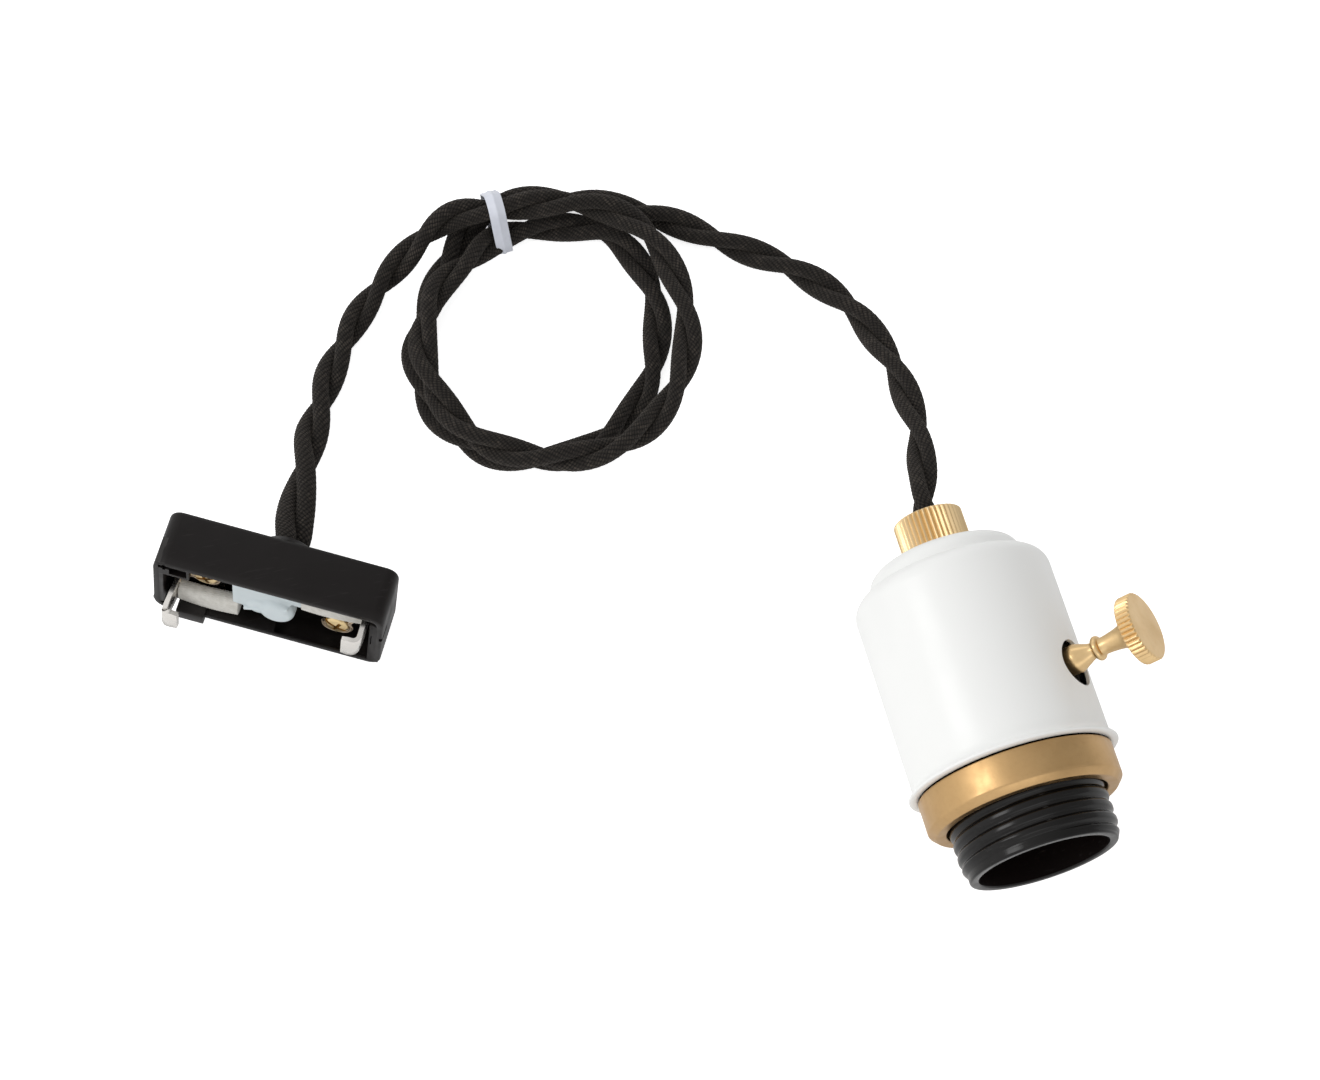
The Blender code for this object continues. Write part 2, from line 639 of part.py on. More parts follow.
def make_plug_body():
    """Tray open at the front (z = 0) with a domed boss at the back for the cord."""
    body = cushion_block("plug_body", (PLUG_LONG, PLUG_WIDE, PLUG_DEEP), PLUG_ROUND)
    place(body, BLACK_RESIN, plug, at=(0, 0, PLUG_DEEP / 2))
    back = PLUG_DEEP - PLUG_WALL
    boss = turned("boss_tool", [(0, PLUG_DEEP + BOSS_HIGH), (BOSS_R - 1.0, PLUG_DEEP + BOSS_HIGH),
                                (BOSS_R, PLUG_DEEP + 1.6), (BOSS_R + 1.6, PLUG_DEEP - 0.6),
                                (0, PLUG_DEEP - 0.6)], 20)
    boolean(body, tool(boss, plug), "UNION")
    room = cushion_block("plug_room_cutter", (PLUG_LONG - 2 * PLUG_WALL,
                                              PLUG_WIDE - 2 * PLUG_WALL, back + 1.0),
                         PLUG_ROUND - PLUG_WALL, 2)
    boolean(body, tool(room, plug, at=(0, 0, (back - 1.0) / 2)))
    bore = rod("boss_bore_cutter", BOSS_BORE_R, back - 2, PLUG_DEEP + 9, 20)
    boolean(body, tool(bore, plug))
    for side in (-1, 1):
        spot = (side * SCREW_X, side * SCREW_Y, 0)
        post = rod("screw_post_tool", PLUG_POST_R, TERMINAL_Z + BLADE_T + GAP, back + 0.8, 12)
        boolean(body, tool(post, plug, at=spot), "UNION")
        drill = rod("post_cutter", 1.7, TERMINAL_Z, back - 1.0, 10)
        boolean(body, tool(drill, plug, at=spot))
    notch = block("notch_cutter", (8.5, 4.0, 3.0))
    boolean(body, tool(notch, plug, at=(-19.2, PLUG_WIDE / 2, 0.4)))
    slot = block("end_slot_cutter", (1.6, 1.4, 5.0))
    boolean(body, tool(slot, plug, at=(PLUG_LONG / 2, -2.0, 2.0)))


def make_blades():
    """Hooked blades, point-symmetric about the plug's middle, each with its terminal."""
    for side, name in ((-1, "left"), (1, "right")):
        outer = side * BLADE_OUT
        inner = outer - side * BLADE_T
        foot = outer - side * BLADE_FOOT
        low = TERMINAL_Z + BLADE_T
        tip = -BLADE_REACH
        outline = [(outer, -low), (outer, -tip - 1.0), (outer - side * 1.0, -tip),
                   (foot, -tip), (foot, -tip - BLADE_T), (inner, -tip - BLADE_T), (inner, -low)]
        hook = plate("plug_blade_" + name, (outline,), BLADE_WIDE)
        hook = as_mesh(place(hook, NICKEL, plug, at=(0, -side * BLADE_OFF, 0), turn=(-90, 0, 0)))
        wide_from = -side * (BLADE_OFF + BLADE_WIDE / 2)
        wide_to = side * (SCREW_Y + 3.2)
        size = (BLADE_OUT - BASE_INNER, abs(wide_to - wide_from), BLADE_T)
        base = block("blade_base_tool", size)
        mid = (side * (BLADE_OUT + BASE_INNER) / 2, (wide_from + wide_to) / 2,
               TERMINAL_Z + BLADE_T / 2)
        boolean(hook, tool(base, plug, at=mid), "UNION")
        drill = rod("blade_cutter", 1.8, 0, 12, 10)
        boolean(hook, tool(drill, plug, at=(side * SCREW_X, side * SCREW_Y, 0)))


def as_mesh(obj):
    """Replace a curve object by its welded mesh."""
    bpy.context.view_layer.update()
    evaluated = obj.evaluated_get(bpy.context.evaluated_depsgraph_get())
    mesh = bpy.data.meshes.new_from_object(evaluated)
    bm = bmesh.new()
    bm.from_mesh(mesh)
    bmesh.ops.remove_doubles(bm, verts=bm.verts, dist=MERGE)
    bm.to_mesh(mesh)
    bm.free()
    name = obj.name
    solid = bpy.data.objects.new(name + "_mesh", mesh)
    parts.objects.link(solid)
    solid.parent = obj.parent
    solid.location = obj.location
    solid.rotation_euler = obj.rotation_euler
    bpy.data.objects.remove(obj, do_unlink=True)
    solid.name = name
    return solid


def make_plug_screws():
    seat = TERMINAL_Z - GAP
    head = seat - WASHER_T - GAP
    low = head - PLUG_SCREW_HEAD_T
    for side, name in ((-1, "left"), (1, "right")):
        spot = (side * SCREW_X, side * SCREW_Y, 0)
        washer = rod("plug_washer_" + name, WASHER_R, seat - WASHER_T, seat, 16, 1.8)
        place(washer, BRASS, plug, at=spot)
        screw = turned("plug_screw_" + name,
                       [(0, 11.6), (PLUG_SCREW_R, 11.6), (PLUG_SCREW_R, head),
                        (PLUG_SCREW_HEAD_R, head), (PLUG_SCREW_HEAD_R, low + 0.7),
                        (PLUG_SCREW_HEAD_R - 0.8, low), (0, low)], 16)
        place(screw, BRASS, plug, at=spot)
        slot = block("slot_cutter", (7.0, 0.8, 1.6))
        boolean(screw, tool(slot, plug, at=(*spot[:2], low), turn=(0, 0, 25 * side)))


def make_plug_wires():
    for side, name in ((-1, "left"), (1, "right")):
        middle = (side * (SLEEVE_FROM + SLEEVE_TO) / 2, -side * SLEEVE_OFF, SLEEVE_DEPTH)
        sleeve = block("wire_sleeve_" + name, (SLEEVE_TO - SLEEVE_FROM, 6.4, 4.4), 1.7, 3)
        place(sleeve, SLEEVE_WHITE, plug, at=middle)
        bore = rod("sleeve_cutter", 1.3, -12, 12, 12)
        boolean(sleeve, tool(bore, plug, at=middle, turn=(0, 90, 0)))
        route = ((2.5, 0, 15.4), (3.2, 0.4, 12.0), (6.4, 2.6, 9.4), (8.1, 4.4, 7.0),
                 (7.8, 5.6, 4.6), (8.6, SLEEVE_OFF, SLEEVE_DEPTH),
                 (20.2, SLEEVE_OFF, SLEEVE_DEPTH))
        points = [(side * x, -side * across, z) for x, across, z in route]
        place(wire("plug_core_" + name, points, PLUG_CORE_R), CORE_WHITE, plug)


def make_clamp():
    """Nylon clamp that presses the cord against the back of the plug."""
    clamp = block("cord_clamp", (15.0, 8.8, 4.4), 1.2, 2)
    place(clamp, NYLON, plug, at=(-0.9, -2.0, 4.2))
    dome = turned("clamp_dome_tool", [(0, 0.6), (2.0, 0.9), (3.6, 2.0), (4.4, 3.8), (4.4, 5.2),
                                      (0, 5.2)][::-1], 18)
    boolean(clamp, tool(dome, plug, at=(2.0, 1.6, 0)), "UNION")


# ---- build -------------------------------------------------------------------------------
clear_scene()
parts = new_collection("pendant_cord_set")
tools = new_collection("cutters")

BLACK_CLOTH = material("black_cotton", (0.012, 0.011, 0.010), 0.9)
TIE_WHITE = material("tie_white", (0.78, 0.80, 0.84), 0.5)
WHITE_PAINT = material("white_paint", (0.80, 0.81, 0.80), 0.35)
BRASS = material("brass", (0.72, 0.50, 0.22), 0.3, 1.0)
AGED_BRASS = material("aged_brass", (0.48, 0.32, 0.13), 0.4, 1.0)
BLACK_RESIN = material("black_resin", (0.012, 0.011, 0.011), 0.3)
NICKEL = material("nickel", (0.72, 0.70, 0.66), 0.25, 1.0)
STEEL = material("spring_steel", (0.45, 0.45, 0.46), 0.3, 1.0)
FIBRE = material("red_fibre", (0.25, 0.05, 0.03), 0.7)
RUBBER = material("black_rubber", (0.02, 0.02, 0.02), 0.8)
CORE_WHITE = material("core_white", (0.75, 0.74, 0.70), 0.6)
SLEEVE_WHITE = material("glass_sleeve", (0.72, 0.71, 0.66), 0.8)
NYLON = material("milky_nylon", (0.68, 0.76, 0.80), 0.4)

world = frame("layout_frame", SHIFT, Matrix.Identity(3))
lamp = frame("lampholder_frame", LAMP_FLANGE, lamp_rotation(), world)
key_turned = Matrix.Rotation(-KEY_TILT, 3, "Z") @ Matrix.Rotation(math.radians(90), 3, "Y")
key = frame("key_frame", (0, 0, KEY_STATION), key_turned, lamp)
plug_front = PLUG_CENTRE - plug_rotation() @ Vector((0, 0, PLUG_DEEP / 2))
plug = frame("plug_frame", plug_front, plug_rotation(), world)

make_cord()
make_tie()
make_shell()
make_threaded_body()
make_screw_shell()
make_switch_blocks()
make_assembly_screws()
make_terminals()
make_centre_contact()
make_switch()
make_key()
make_shade_ring()
make_gland()
make_lamp_cores()
make_plug_body()
make_blades()
make_plug_screws()
make_plug_wires()
make_clamp()
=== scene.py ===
"""Looks for the pendant lamp cord set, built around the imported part.

Lengths in this script are in millimetres and are scaled to metres as meshes are made.
"""
import json
import math
import random

import bmesh
import bpy
import numpy as np
from mathutils import Matrix, Vector


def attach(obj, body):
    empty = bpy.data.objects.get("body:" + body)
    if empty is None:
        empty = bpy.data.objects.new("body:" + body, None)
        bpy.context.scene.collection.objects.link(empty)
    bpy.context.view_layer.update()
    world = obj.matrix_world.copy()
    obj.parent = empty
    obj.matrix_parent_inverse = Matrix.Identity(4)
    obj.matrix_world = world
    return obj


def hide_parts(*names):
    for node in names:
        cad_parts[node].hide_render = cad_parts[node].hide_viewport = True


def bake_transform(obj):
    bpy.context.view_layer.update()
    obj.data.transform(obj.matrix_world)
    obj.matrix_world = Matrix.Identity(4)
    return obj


MM = 0.001
TURN = 2 * math.pi
SEED = 11
SHARP = 35.0  # edges steeper than this many degrees stay crisp

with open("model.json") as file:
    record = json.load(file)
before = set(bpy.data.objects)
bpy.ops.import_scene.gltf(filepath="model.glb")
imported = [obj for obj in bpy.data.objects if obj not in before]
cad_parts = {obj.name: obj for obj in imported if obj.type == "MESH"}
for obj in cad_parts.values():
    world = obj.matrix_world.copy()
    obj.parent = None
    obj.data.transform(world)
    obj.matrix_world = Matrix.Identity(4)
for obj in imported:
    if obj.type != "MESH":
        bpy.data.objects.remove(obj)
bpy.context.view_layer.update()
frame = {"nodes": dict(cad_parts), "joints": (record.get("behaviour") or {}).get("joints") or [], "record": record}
joints = {j["name"]: j for j in frame["joints"]}
rng = random.Random(SEED)

# ---- frames; the key's joint puts the layout in its place in the part ----
KEY_STATION = 18.2
KEY_TILT = math.radians(35.0)
LAYOUT_FLANGE = Vector((59.95, -81.6, 25.0))
FLANGE = Vector(joints["key_turn"]["pos_m"]) / MM - Vector((0, KEY_STATION, 0))
SHIFT = FLANGE - LAYOUT_FLANGE

PLUG_CENTRE = Vector((-90.2, 12.6, 14.5))
PLUG_YAW = -29.6
PLUG_PITCH = -8.2
PLUG_ROLL = 5.3
PLUG_LONG = 55.4
PLUG_WIDE = 22.5
PLUG_DEEP = 14.5
BOSS_HIGH = 3.5


def turned(degrees, axis):
    return Matrix.Rotation(math.radians(degrees), 4, axis)


def moved(place, x, y):
    return place @ Matrix.Translation((x, y, 0))


LAMP = Matrix.Translation(FLANGE) @ turned(-90, "X")
KEY = (LAMP @ Matrix.Translation((0, 0, KEY_STATION)) @ Matrix.Rotation(-KEY_TILT, 4, "Z")
       @ turned(90, "Y"))
PLUG_TURN = (turned(PLUG_YAW, "Z") @ turned(PLUG_PITCH, "X") @ turned(PLUG_ROLL, "Y")
             @ turned(-90, "X"))
PLUG_BACK = PLUG_TURN @ Vector((0, 0, 1))
PLUG = Matrix.Translation(PLUG_CENTRE + SHIFT - PLUG_BACK * PLUG_DEEP / 2) @ PLUG_TURN
WORLD = Matrix.Identity(4)
SIDES = ((-1, "left"), (1, "right"))


# ---- mesh helpers ----
def link_new(name, data):
    obj = bpy.data.objects.new(name, data)
    bpy.context.scene.collection.objects.link(obj)
    return obj


def as_object(name, verts, faces, place, uvs=None, sharp=SHARP):
    """A smooth-shaded mesh object; verts in mm in the frame place, object at the origin."""
    co = np.array(verts, float).reshape(-1, 3)
    turn = np.array(place.to_3x3())
    co = (co @ turn.T + np.array(place.translation)) * MM
    mesh = bpy.data.meshes.new(name)
    mesh.from_pydata(co.tolist(), [], faces)
    mesh.validate()
    if uvs is not None:
        layer = mesh.uv_layers.new(name="UVMap")
        layer.data.foreach_set("uv", np.array(uvs, np.float32).ravel())
    obj = link_new(name, mesh)
    tidy_mesh(obj, sharp)
    return obj


def tidy_mesh(obj, sharp):
    """Outward normals, smooth faces, and edges steeper than sharp degrees kept crisp."""
    bm = bmesh.new()
    bm.from_mesh(obj.data)
    bmesh.ops.recalc_face_normals(bm, faces=bm.faces)
    limit = math.radians(sharp)
    for face in bm.faces:
        face.smooth = True
    for edge in bm.edges:
        if len(edge.link_faces) == 2 and edge.calc_face_angle(0) > limit:
            edge.smooth = False
    bm.to_mesh(obj.data)
    bm.free()


def grid_faces(rows, cols, wrap_rows):
    """Quads over a grid whose columns wrap round."""
    r = np.arange(rows if wrap_rows else rows - 1)[:, None]
    c = np.arange(cols)[None, :]
    here = r * cols + c
    right = r * cols + (c + 1) % cols
    above = ((r + 1) % rows) * cols + c
    both = ((r + 1) % rows) * cols + (c + 1) % cols
    return np.stack([here, right, both, above], -1).reshape(-1, 4).tolist()


def skin(name, grid, place, wrap_rows=False, uvs=None, sharp=SHARP):
    """A closed surface through a grid of rings; open ends get a fan to their middle."""
    rows, cols, _ = grid.shape
    verts = grid.reshape(-1, 3).tolist()
    faces = grid_faces(rows, cols, wrap_rows)
    if not wrap_rows:
        for ring, flip in ((0, True), (rows - 1, False)):
            middle = len(verts)
            verts.append(grid[ring].mean(0).tolist())
            for c in range(cols):
                a, b = ring * cols + c, ring * cols + (c + 1) % cols
                faces.append((b, a, middle) if flip else (a, b, middle))
    return as_object(name, verts, faces, place, uvs, sharp)


def lathe(name, profile, place, cols=96, ring=False, shape=None, sharp=SHARP):
    """Turned piece about local Z. shape(radius, z, angles) may change the radius."""
    angles = round_angles(cols)
    rows = []
    for r, z in profile:
        radius = np.full(cols, float(r))
        if shape:
            radius = shape(radius, z, angles)
        rows.append(np.stack([radius * np.cos(angles), radius * np.sin(angles),
                              np.full(cols, float(z))], -1))
    return skin(name, np.array(rows), place, ring, sharp=sharp)


def round_angles(cols):
    return np.linspace(0, TURN, cols, endpoint=False)


def arc(cx, cy, radius, start, end, count=6):
    """Points on an arc, in degrees, both ends included."""
    return [(cx + radius * math.cos(math.radians(start + (end - start) * i / count)),
             cy + radius * math.sin(math.radians(start + (end - start) * i / count)))
            for i in range(count + 1)]


def box_mesh(name, low, high, place, bevel=0.3, segments=2):
    """A block with rounded edges between two corners."""
    lo, hi = Vector(low), Vector(high)
    bm = bmesh.new()
    bmesh.ops.create_cube(bm, size=1.0)
    for v in bm.verts:
        v.co = Vector([lo[i] if v.co[i] < 0 else hi[i] for i in range(3)])
    if bevel:
        bmesh.ops.bevel(bm, geom=list(bm.edges), offset=bevel, segments=segments, profile=0.5,
                        affect="EDGES")
    bm.verts.index_update()
    verts = [tuple(v.co) for v in bm.verts]
    faces = [[v.index for v in f.verts] for f in bm.faces]
    bm.free()
    return as_object(name, verts, faces, place)


def evaluate(obj):
    """Replace obj's mesh by its evaluated mesh and drop its modifiers."""
    bpy.context.view_layer.update()
    depsgraph = bpy.context.evaluated_depsgraph_get()
    mesh = bpy.data.meshes.new_from_object(obj.evaluated_get(depsgraph))
    obj.modifiers.clear()
    obj.data = mesh


def carve(obj, others, operation="DIFFERENCE", sharp=SHARP):
    """Boolean obj with each of others, which are then removed."""
    for other in others:
        mod = obj.modifiers.new("cut", "BOOLEAN")
        mod.operation = operation
        mod.solver = "EXACT"
        mod.object = other
    evaluate(obj)
    for other in others:
        bpy.data.objects.remove(other, do_unlink=True)
    tidy_mesh(obj, sharp)
    return obj


def between(a, b, at_a, at_b, t):
    return a * ((at_b - t) / (at_b - at_a)) + b * ((t - at_a) / (at_b - at_a))


def catmull(points, step):
    """Centripetal Catmull-Rom curve through points, sampled about every step mm."""
    ends = [points[0] * 2 - points[1], *points, points[-1] * 2 - points[-2]]
    out = [points[0].copy()]
    for p0, p1, p2, p3 in zip(ends, ends[1:], ends[2:], ends[3:]):
        t1 = (p1 - p0).length ** 0.5
        t2 = t1 + (p2 - p1).length ** 0.5
        t3 = t2 + (p3 - p2).length ** 0.5
        count = max(2, round((p2 - p1).length / step))
        for i in range(1, count + 1):
            t = t1 + (t2 - t1) * i / count
            a1 = between(p0, p1, 0.0, t1, t)
            a2 = between(p1, p2, t1, t2, t)
            a3 = between(p2, p3, t2, t3, t)
            b1 = between(a1, a2, 0.0, t2, t)
            b2 = between(a2, a3, t1, t3, t)
            out.append(between(b1, b2, t1, t2, t))
    return out


def sweep_wire(path, place, radius, cols):
    """A round wire along path, with a frame that doesn't twist."""
    angles = [TURN * k / cols for k in range(cols)]
    side = (path[1] - path[0]).normalized().cross(WIRE_SIDE)
    rows = []
    for i, here in enumerate(path):
        along = (path[min(i + 1, len(path) - 1)] - path[max(i - 1, 0)]).normalized()
        side = (side - along * side.dot(along)).normalized()
        up = along.cross(side)
        rows.append([tuple(here + side * (radius * math.cos(a)) + up * (radius * math.sin(a)))
                     for a in angles])
    return skin("wire", np.array(rows), place)


def map_range(tree, source, low, high, a=0.0, b=1.0):
    """A node that maps low..high to a..b and clamps."""
    node = tree.nodes.new("ShaderNodeMapRange")
    for socket, value in zip(("From Min", "From Max", "To Min", "To Max"), (low, high, a, b)):
        node.inputs[socket].default_value = value
    tree.links.new(source, node.inputs["Value"])
    return node.outputs["Result"]


# ---- materials ----
class Look:
    """A node material built round one Principled shader, in object coordinates."""

    def __init__(self, name, color, rough, metal=0.0):
        self.mat = bpy.data.materials.new(name)
        self.mat.use_nodes = True
        self.tree = self.mat.node_tree
        self.shader = self.tree.nodes["Principled BSDF"]
        self.color = color
        self.put({"Base Color": (*color, 1.0), "Roughness": rough, "Metallic": metal})
        self.coords = self.node("TexCoord")
        self.height = None

    def node(self, kind):
        return self.tree.nodes.new("ShaderNode" + kind)

    def put(self, values):
        for socket, value in values.items():
            self.shader.inputs[socket].default_value = value

    def link(self, source, target):
        self.tree.links.new(source, target)

    def math(self, kind, a, b=0.0):
        node = self.node("Math")
        node.operation = kind
        for socket, value in zip(node.inputs, (a, b)):
            if isinstance(value, (int, float)):
                socket.default_value = value
            else:
                self.link(value, socket)
        return node.outputs[0]

    def times(self, a, b):
        return self.math("MULTIPLY", a, b)

    def noise(self, scale, detail=3.0, stretch=(1, 1, 1), turn=(0, 0, 0), rough=0.55):
        mapping = self.node("Mapping")
        mapping.inputs["Scale"].default_value = stretch
        mapping.inputs["Rotation"].default_value = turn
        self.link(self.coords.outputs["Object"], mapping.inputs["Vector"])
        node = self.node("TexNoise")
        for socket, value in (("Scale", scale), ("Detail", detail), ("Roughness", rough)):
            node.inputs[socket].default_value = value
        self.link(mapping.outputs["Vector"], node.inputs["Vector"])
        return node.outputs["Fac"]

    def scratches(self, scale, stretch, turn):
        """Thin stretched marks: 1 in a scratch, 0 elsewhere."""
        return self.ramp(self.noise(scale, 5.0, stretch, turn, rough=0.5), 0.62, 0.70)

    def ramp(self, source, low, high, a=0.0, b=1.0):
        return map_range(self.tree, source, low, high, a, b)

    def tint(self, factor, other):
        """Mix the base colour towards other by factor."""
        node = self.node("Mix")
        node.data_type = "RGBA"
        base = self.shader.inputs["Base Color"]
        if base.is_linked:
            self.link(base.links[0].from_socket, node.inputs["A"])
        else:
            node.inputs["A"].default_value = (*self.color, 1.0)
        node.inputs["B"].default_value = (*other, 1.0)
        self.link(factor, node.inputs["Factor"])
        self.link(node.outputs["Result"], base)

    def mottle(self, scale, detail, low, high, amount, other):
        """Soft patches that lean towards other by up to amount."""
        self.tint(self.ramp(self.noise(scale, detail), low, high, 0.0, amount), other)

    def roughen(self, factor, low, high):
        self.link(self.ramp(factor, 0.3, 0.7, low, high), self.shader.inputs["Roughness"])

    def bump(self, height, depth_mm, strength=1.0):
        node = self.node("Bump")
        node.inputs["Distance"].default_value = depth_mm * MM
        node.inputs["Strength"].default_value = strength
        self.link(height, node.inputs["Height"])
        if self.height is not None:
            self.link(self.height, node.inputs["Normal"])
        self.height = node.outputs["Normal"]
        self.link(self.height, self.shader.inputs["Normal"])

    def by_curve(self, other, low, high, amount):
        """Mix towards other where the mesh curves, for painted shade in hollows and painted highlights on edges:
        hollows are below 0.5, edges above.
        """
        curve = self.node("NewGeometry").outputs["Pointiness"]
        self.tint(self.ramp(curve, low, high, 0.0, amount), other)


def paint_look():
    look = Look("white_paint", (0.885, 0.89, 0.875), 0.33)
    look.put({"Specular IOR Level": 0.45, "Coat Weight": 0.12, "Coat Roughness": 0.22})
    look.bump(look.noise(420, 2.0), 0.012)
    look.roughen(look.noise(160, 4.0), 0.28, 0.40)
    look.mottle(30, 3.0, 0.35, 0.75, 0.35, (0.85, 0.855, 0.84))
    return look.mat


# the last argument sets how much painted shade darkens the hollows
def brass_look(name, color, deep, rough, brush, hollow_shade=0.5):
    look = Look(name, color, rough, 1.0)
    look.mottle(90, 5.0, 0.35, 0.7, 0.55, deep)
    look.mottle(900, 2.0, 0.5, 0.75, 0.25, deep)
    look.roughen(look.noise(240, 5.0), rough - 0.06, rough + 0.10)
    look.bump(look.noise(260, 3.0, stretch=brush), 0.010)
    # painted shade: knurl grooves and other hollows darken towards a dark brass tone
    look.by_curve(tuple(c * 0.32 for c in deep), 0.475, 0.40, hollow_shade)
    return look.mat


def resin_look(name, color, rough, shine):
    look = Look(name, color, rough)
    look.put({"Specular IOR Level": shine})
    look.mottle(60, 4.0, 0.4, 0.75, 0.5, tuple(c * 1.5 + 0.002 for c in color))
    marks = look.scratches(110, (1.0, 16.0, 7.0), (0.2, 0.4, 0.9))
    look.tint(look.times(marks, 0.045), (0.16, 0.15, 0.145))
    look.roughen(look.noise(200, 5.0), rough - 0.06, rough + 0.12)
    look.bump(look.noise(700, 3.0), 0.008)
    # painted highlight: convex edges lighten towards grey
    look.by_curve((0.055, 0.052, 0.050), 0.53, 0.62, 0.6)
    return look.mat


def plated_look(name, color, rough):
    look = Look(name, color, rough, 1.0)
    look.mottle(120, 3.0, 0.40, 0.75, 0.4, tuple(c * 0.86 for c in color))
    look.roughen(look.noise(200, 3.0), rough - 0.03, rough + 0.07)
    look.bump(look.noise(420, 2.0, stretch=(1.0, 5.0, 1.0)), 0.0025)
    return look.mat


def plain_look(name, color, rough):
    look = Look(name, color, rough)
    look.mottle(150, 4.0, 0.35, 0.75, 0.6, tuple(c * 0.75 for c in color))
    look.roughen(look.noise(600), rough - 0.08, rough + 0.08)
    look.bump(look.noise(600), 0.02)
    return look.mat


BRAID_ROUND = 11  # braid cells round a strand
STITCH_POWER = 0.4  # below 1 draws each stitch out along its yarn
BRAID_LONG = 1.16  # braid cell along a strand, mm


def braid_look():
    """Black braided cotton, with painted highlights on the stitch tops and painted shade between them; UV is
    (turns round the strand, mm along it).
    """
    look = Look("black_cotton", (0.0090, 0.0076, 0.0066), 0.86)
    look.put({"Specular IOR Level": 0.25, "Sheen Weight": 0.12, "Sheen Roughness": 0.45,
              "Sheen Tint": (0.75, 0.66, 0.58, 1.0)})
    split = look.node("SeparateXYZ")
    look.link(look.coords.outputs["UV"], split.inputs[0])
    u = look.times(split.outputs[0], BRAID_ROUND * math.pi)
    v = look.times(split.outputs[1], math.pi / BRAID_LONG)
    left = look.math("SINE", look.math("ADD", u, v))
    right = look.math("SINE", look.math("SUBTRACT", u, v))
    over = look.math("GREATER_THAN", look.times(left, right), 0.0)
    left = look.math("ABSOLUTE", left)
    right = look.math("ABSOLUTE", right)
    leaning = look.times(left, look.math("POWER", right, STITCH_POWER))
    crossing = look.times(look.math("POWER", left, STITCH_POWER), right)
    cell = look.math("ADD", look.times(over, leaning),
                     look.times(look.math("SUBTRACT", 1.0, over), crossing))
    fibre = look.noise(2600, 3.0)
    fleck = look.noise(520, 2.0)
    # painted highlight: the stitch tops are lighter
    look.tint(look.ramp(cell, 0.35, 0.95, 0.0, 0.75), (0.030, 0.0255, 0.0215))
    # lighter flecks on the stitch tops only: partly lighter fibres, partly painted highlight
    look.tint(look.times(look.ramp(cell, 0.30, 0.95), look.ramp(fleck, 0.50, 0.66)),
              (0.055, 0.046, 0.038))
    look.tint(look.times(look.ramp(fibre, 0.60, 0.72), 0.4), (0.085, 0.070, 0.058))
    # painted shade: the gaps between stitches are darkest
    look.tint(look.ramp(cell, 0.30, 0.04), (0.0016, 0.0013, 0.0011))
    look.bump(cell, 0.22, 0.9)
    look.bump(fibre, 0.05, 0.6)
    return look.mat


def woven_look():
    look = Look("woven_sleeve", (0.60, 0.585, 0.545), 0.75)
    look.put({"Sheen Weight": 0.2})
    look.mottle(700, 3.0, 0.35, 0.7, 0.7, (0.46, 0.445, 0.40))
    look.bump(look.noise(2200, 3.0), 0.05)
    return look.mat


def nylon_look():
    look = Look("milky_nylon", (0.56, 0.62, 0.64), 0.30)
    look.put({"Subsurface Weight": 0.6, "Subsurface Radius": (1.0, 1.0, 1.0),
              "Subsurface Scale": 0.0012})
    look.roughen(look.noise(300, 3.0), 0.28, 0.42)
    look.bump(look.noise(500, 3.0), 0.015)
    return look.mat


def tie_look():
    look = Look("tie_white", (0.70, 0.725, 0.80), 0.42)
    look.put({"Specular IOR Level": 0.45})
    look.mottle(260, 4.0, 0.4, 0.75, 0.5, (0.56, 0.58, 0.66))
    look.bump(look.noise(380, 4.0), 0.03)
    return look.mat


LENGTHWISE = (1.0, 1.0, 7.0)  # brushing marks across the turned parts

looks = {
    "black_cotton": braid_look(),
    "tie_white": tie_look(),
    "white_paint": paint_look(),
    "polished_brass": brass_look("polished_brass", (0.88, 0.66, 0.375), (0.76, 0.54, 0.27),
                                 0.31, LENGTHWISE),
    "inner_brass": brass_look("inner_brass", (0.80, 0.62, 0.34), (0.58, 0.42, 0.20), 0.30,
                              (1.0, 3.0, 1.0)),
    "aged_brass": brass_look("aged_brass", (0.58, 0.375, 0.175), (0.46, 0.285, 0.125), 0.36,
                             (1.0, 9.0, 1.0)),
    "black_resin": resin_look("black_resin", (0.0060, 0.0044, 0.0041), 0.36, 0.22),
    "nickel": plated_look("nickel", (0.80, 0.77, 0.73), 0.24),
    "spring_steel": plated_look("spring_steel", (0.55, 0.55, 0.56), 0.30),
    "red_fibre": plain_look("red_fibre", (0.25, 0.055, 0.03), 0.7),
    "black_rubber": plain_look("black_rubber", (0.020, 0.019, 0.019), 0.7),
    "core_white": plain_look("core_white", (0.74, 0.73, 0.68), 0.55),
    "woven_sleeve": woven_look(),
    "milky_nylon": nylon_look(),
}
# the key's knurl grooves get a stronger painted shade
key_look = brass_look("polished_brass_key", (0.78, 0.56, 0.295), (0.63, 0.425, 0.195), 0.35,
                      LENGTHWISE, hollow_shade=0.9)
copper_look = plated_look("tinned_copper", (0.52, 0.43, 0.33), 0.34)
gloss_look = resin_look("black_resin_gloss", (0.0036, 0.0030, 0.0027), 0.17, 0.27)
# a darker, duller copy of the black resin: painted shade inside the mouth's bore
bore_shade_look = resin_look("black_resin_bore_shade", (0.0030, 0.0012, 0.0009), 0.5, 0.06)

for part in frame["record"]["subparts"]:
    node = frame["nodes"][part["node"]]
    node.data.materials.clear()
    node.data.materials.append(looks[part["material_slot"]])


def dress(obj, body, slot, *nodes, look=None):
    """Give a piece its material and its body, and hide the CAD nodes it stands for."""
    obj.data.materials.clear()
    obj.data.materials.append(look or looks[slot])
    if nodes:
        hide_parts(*nodes)
    if body:
        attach(obj, body)


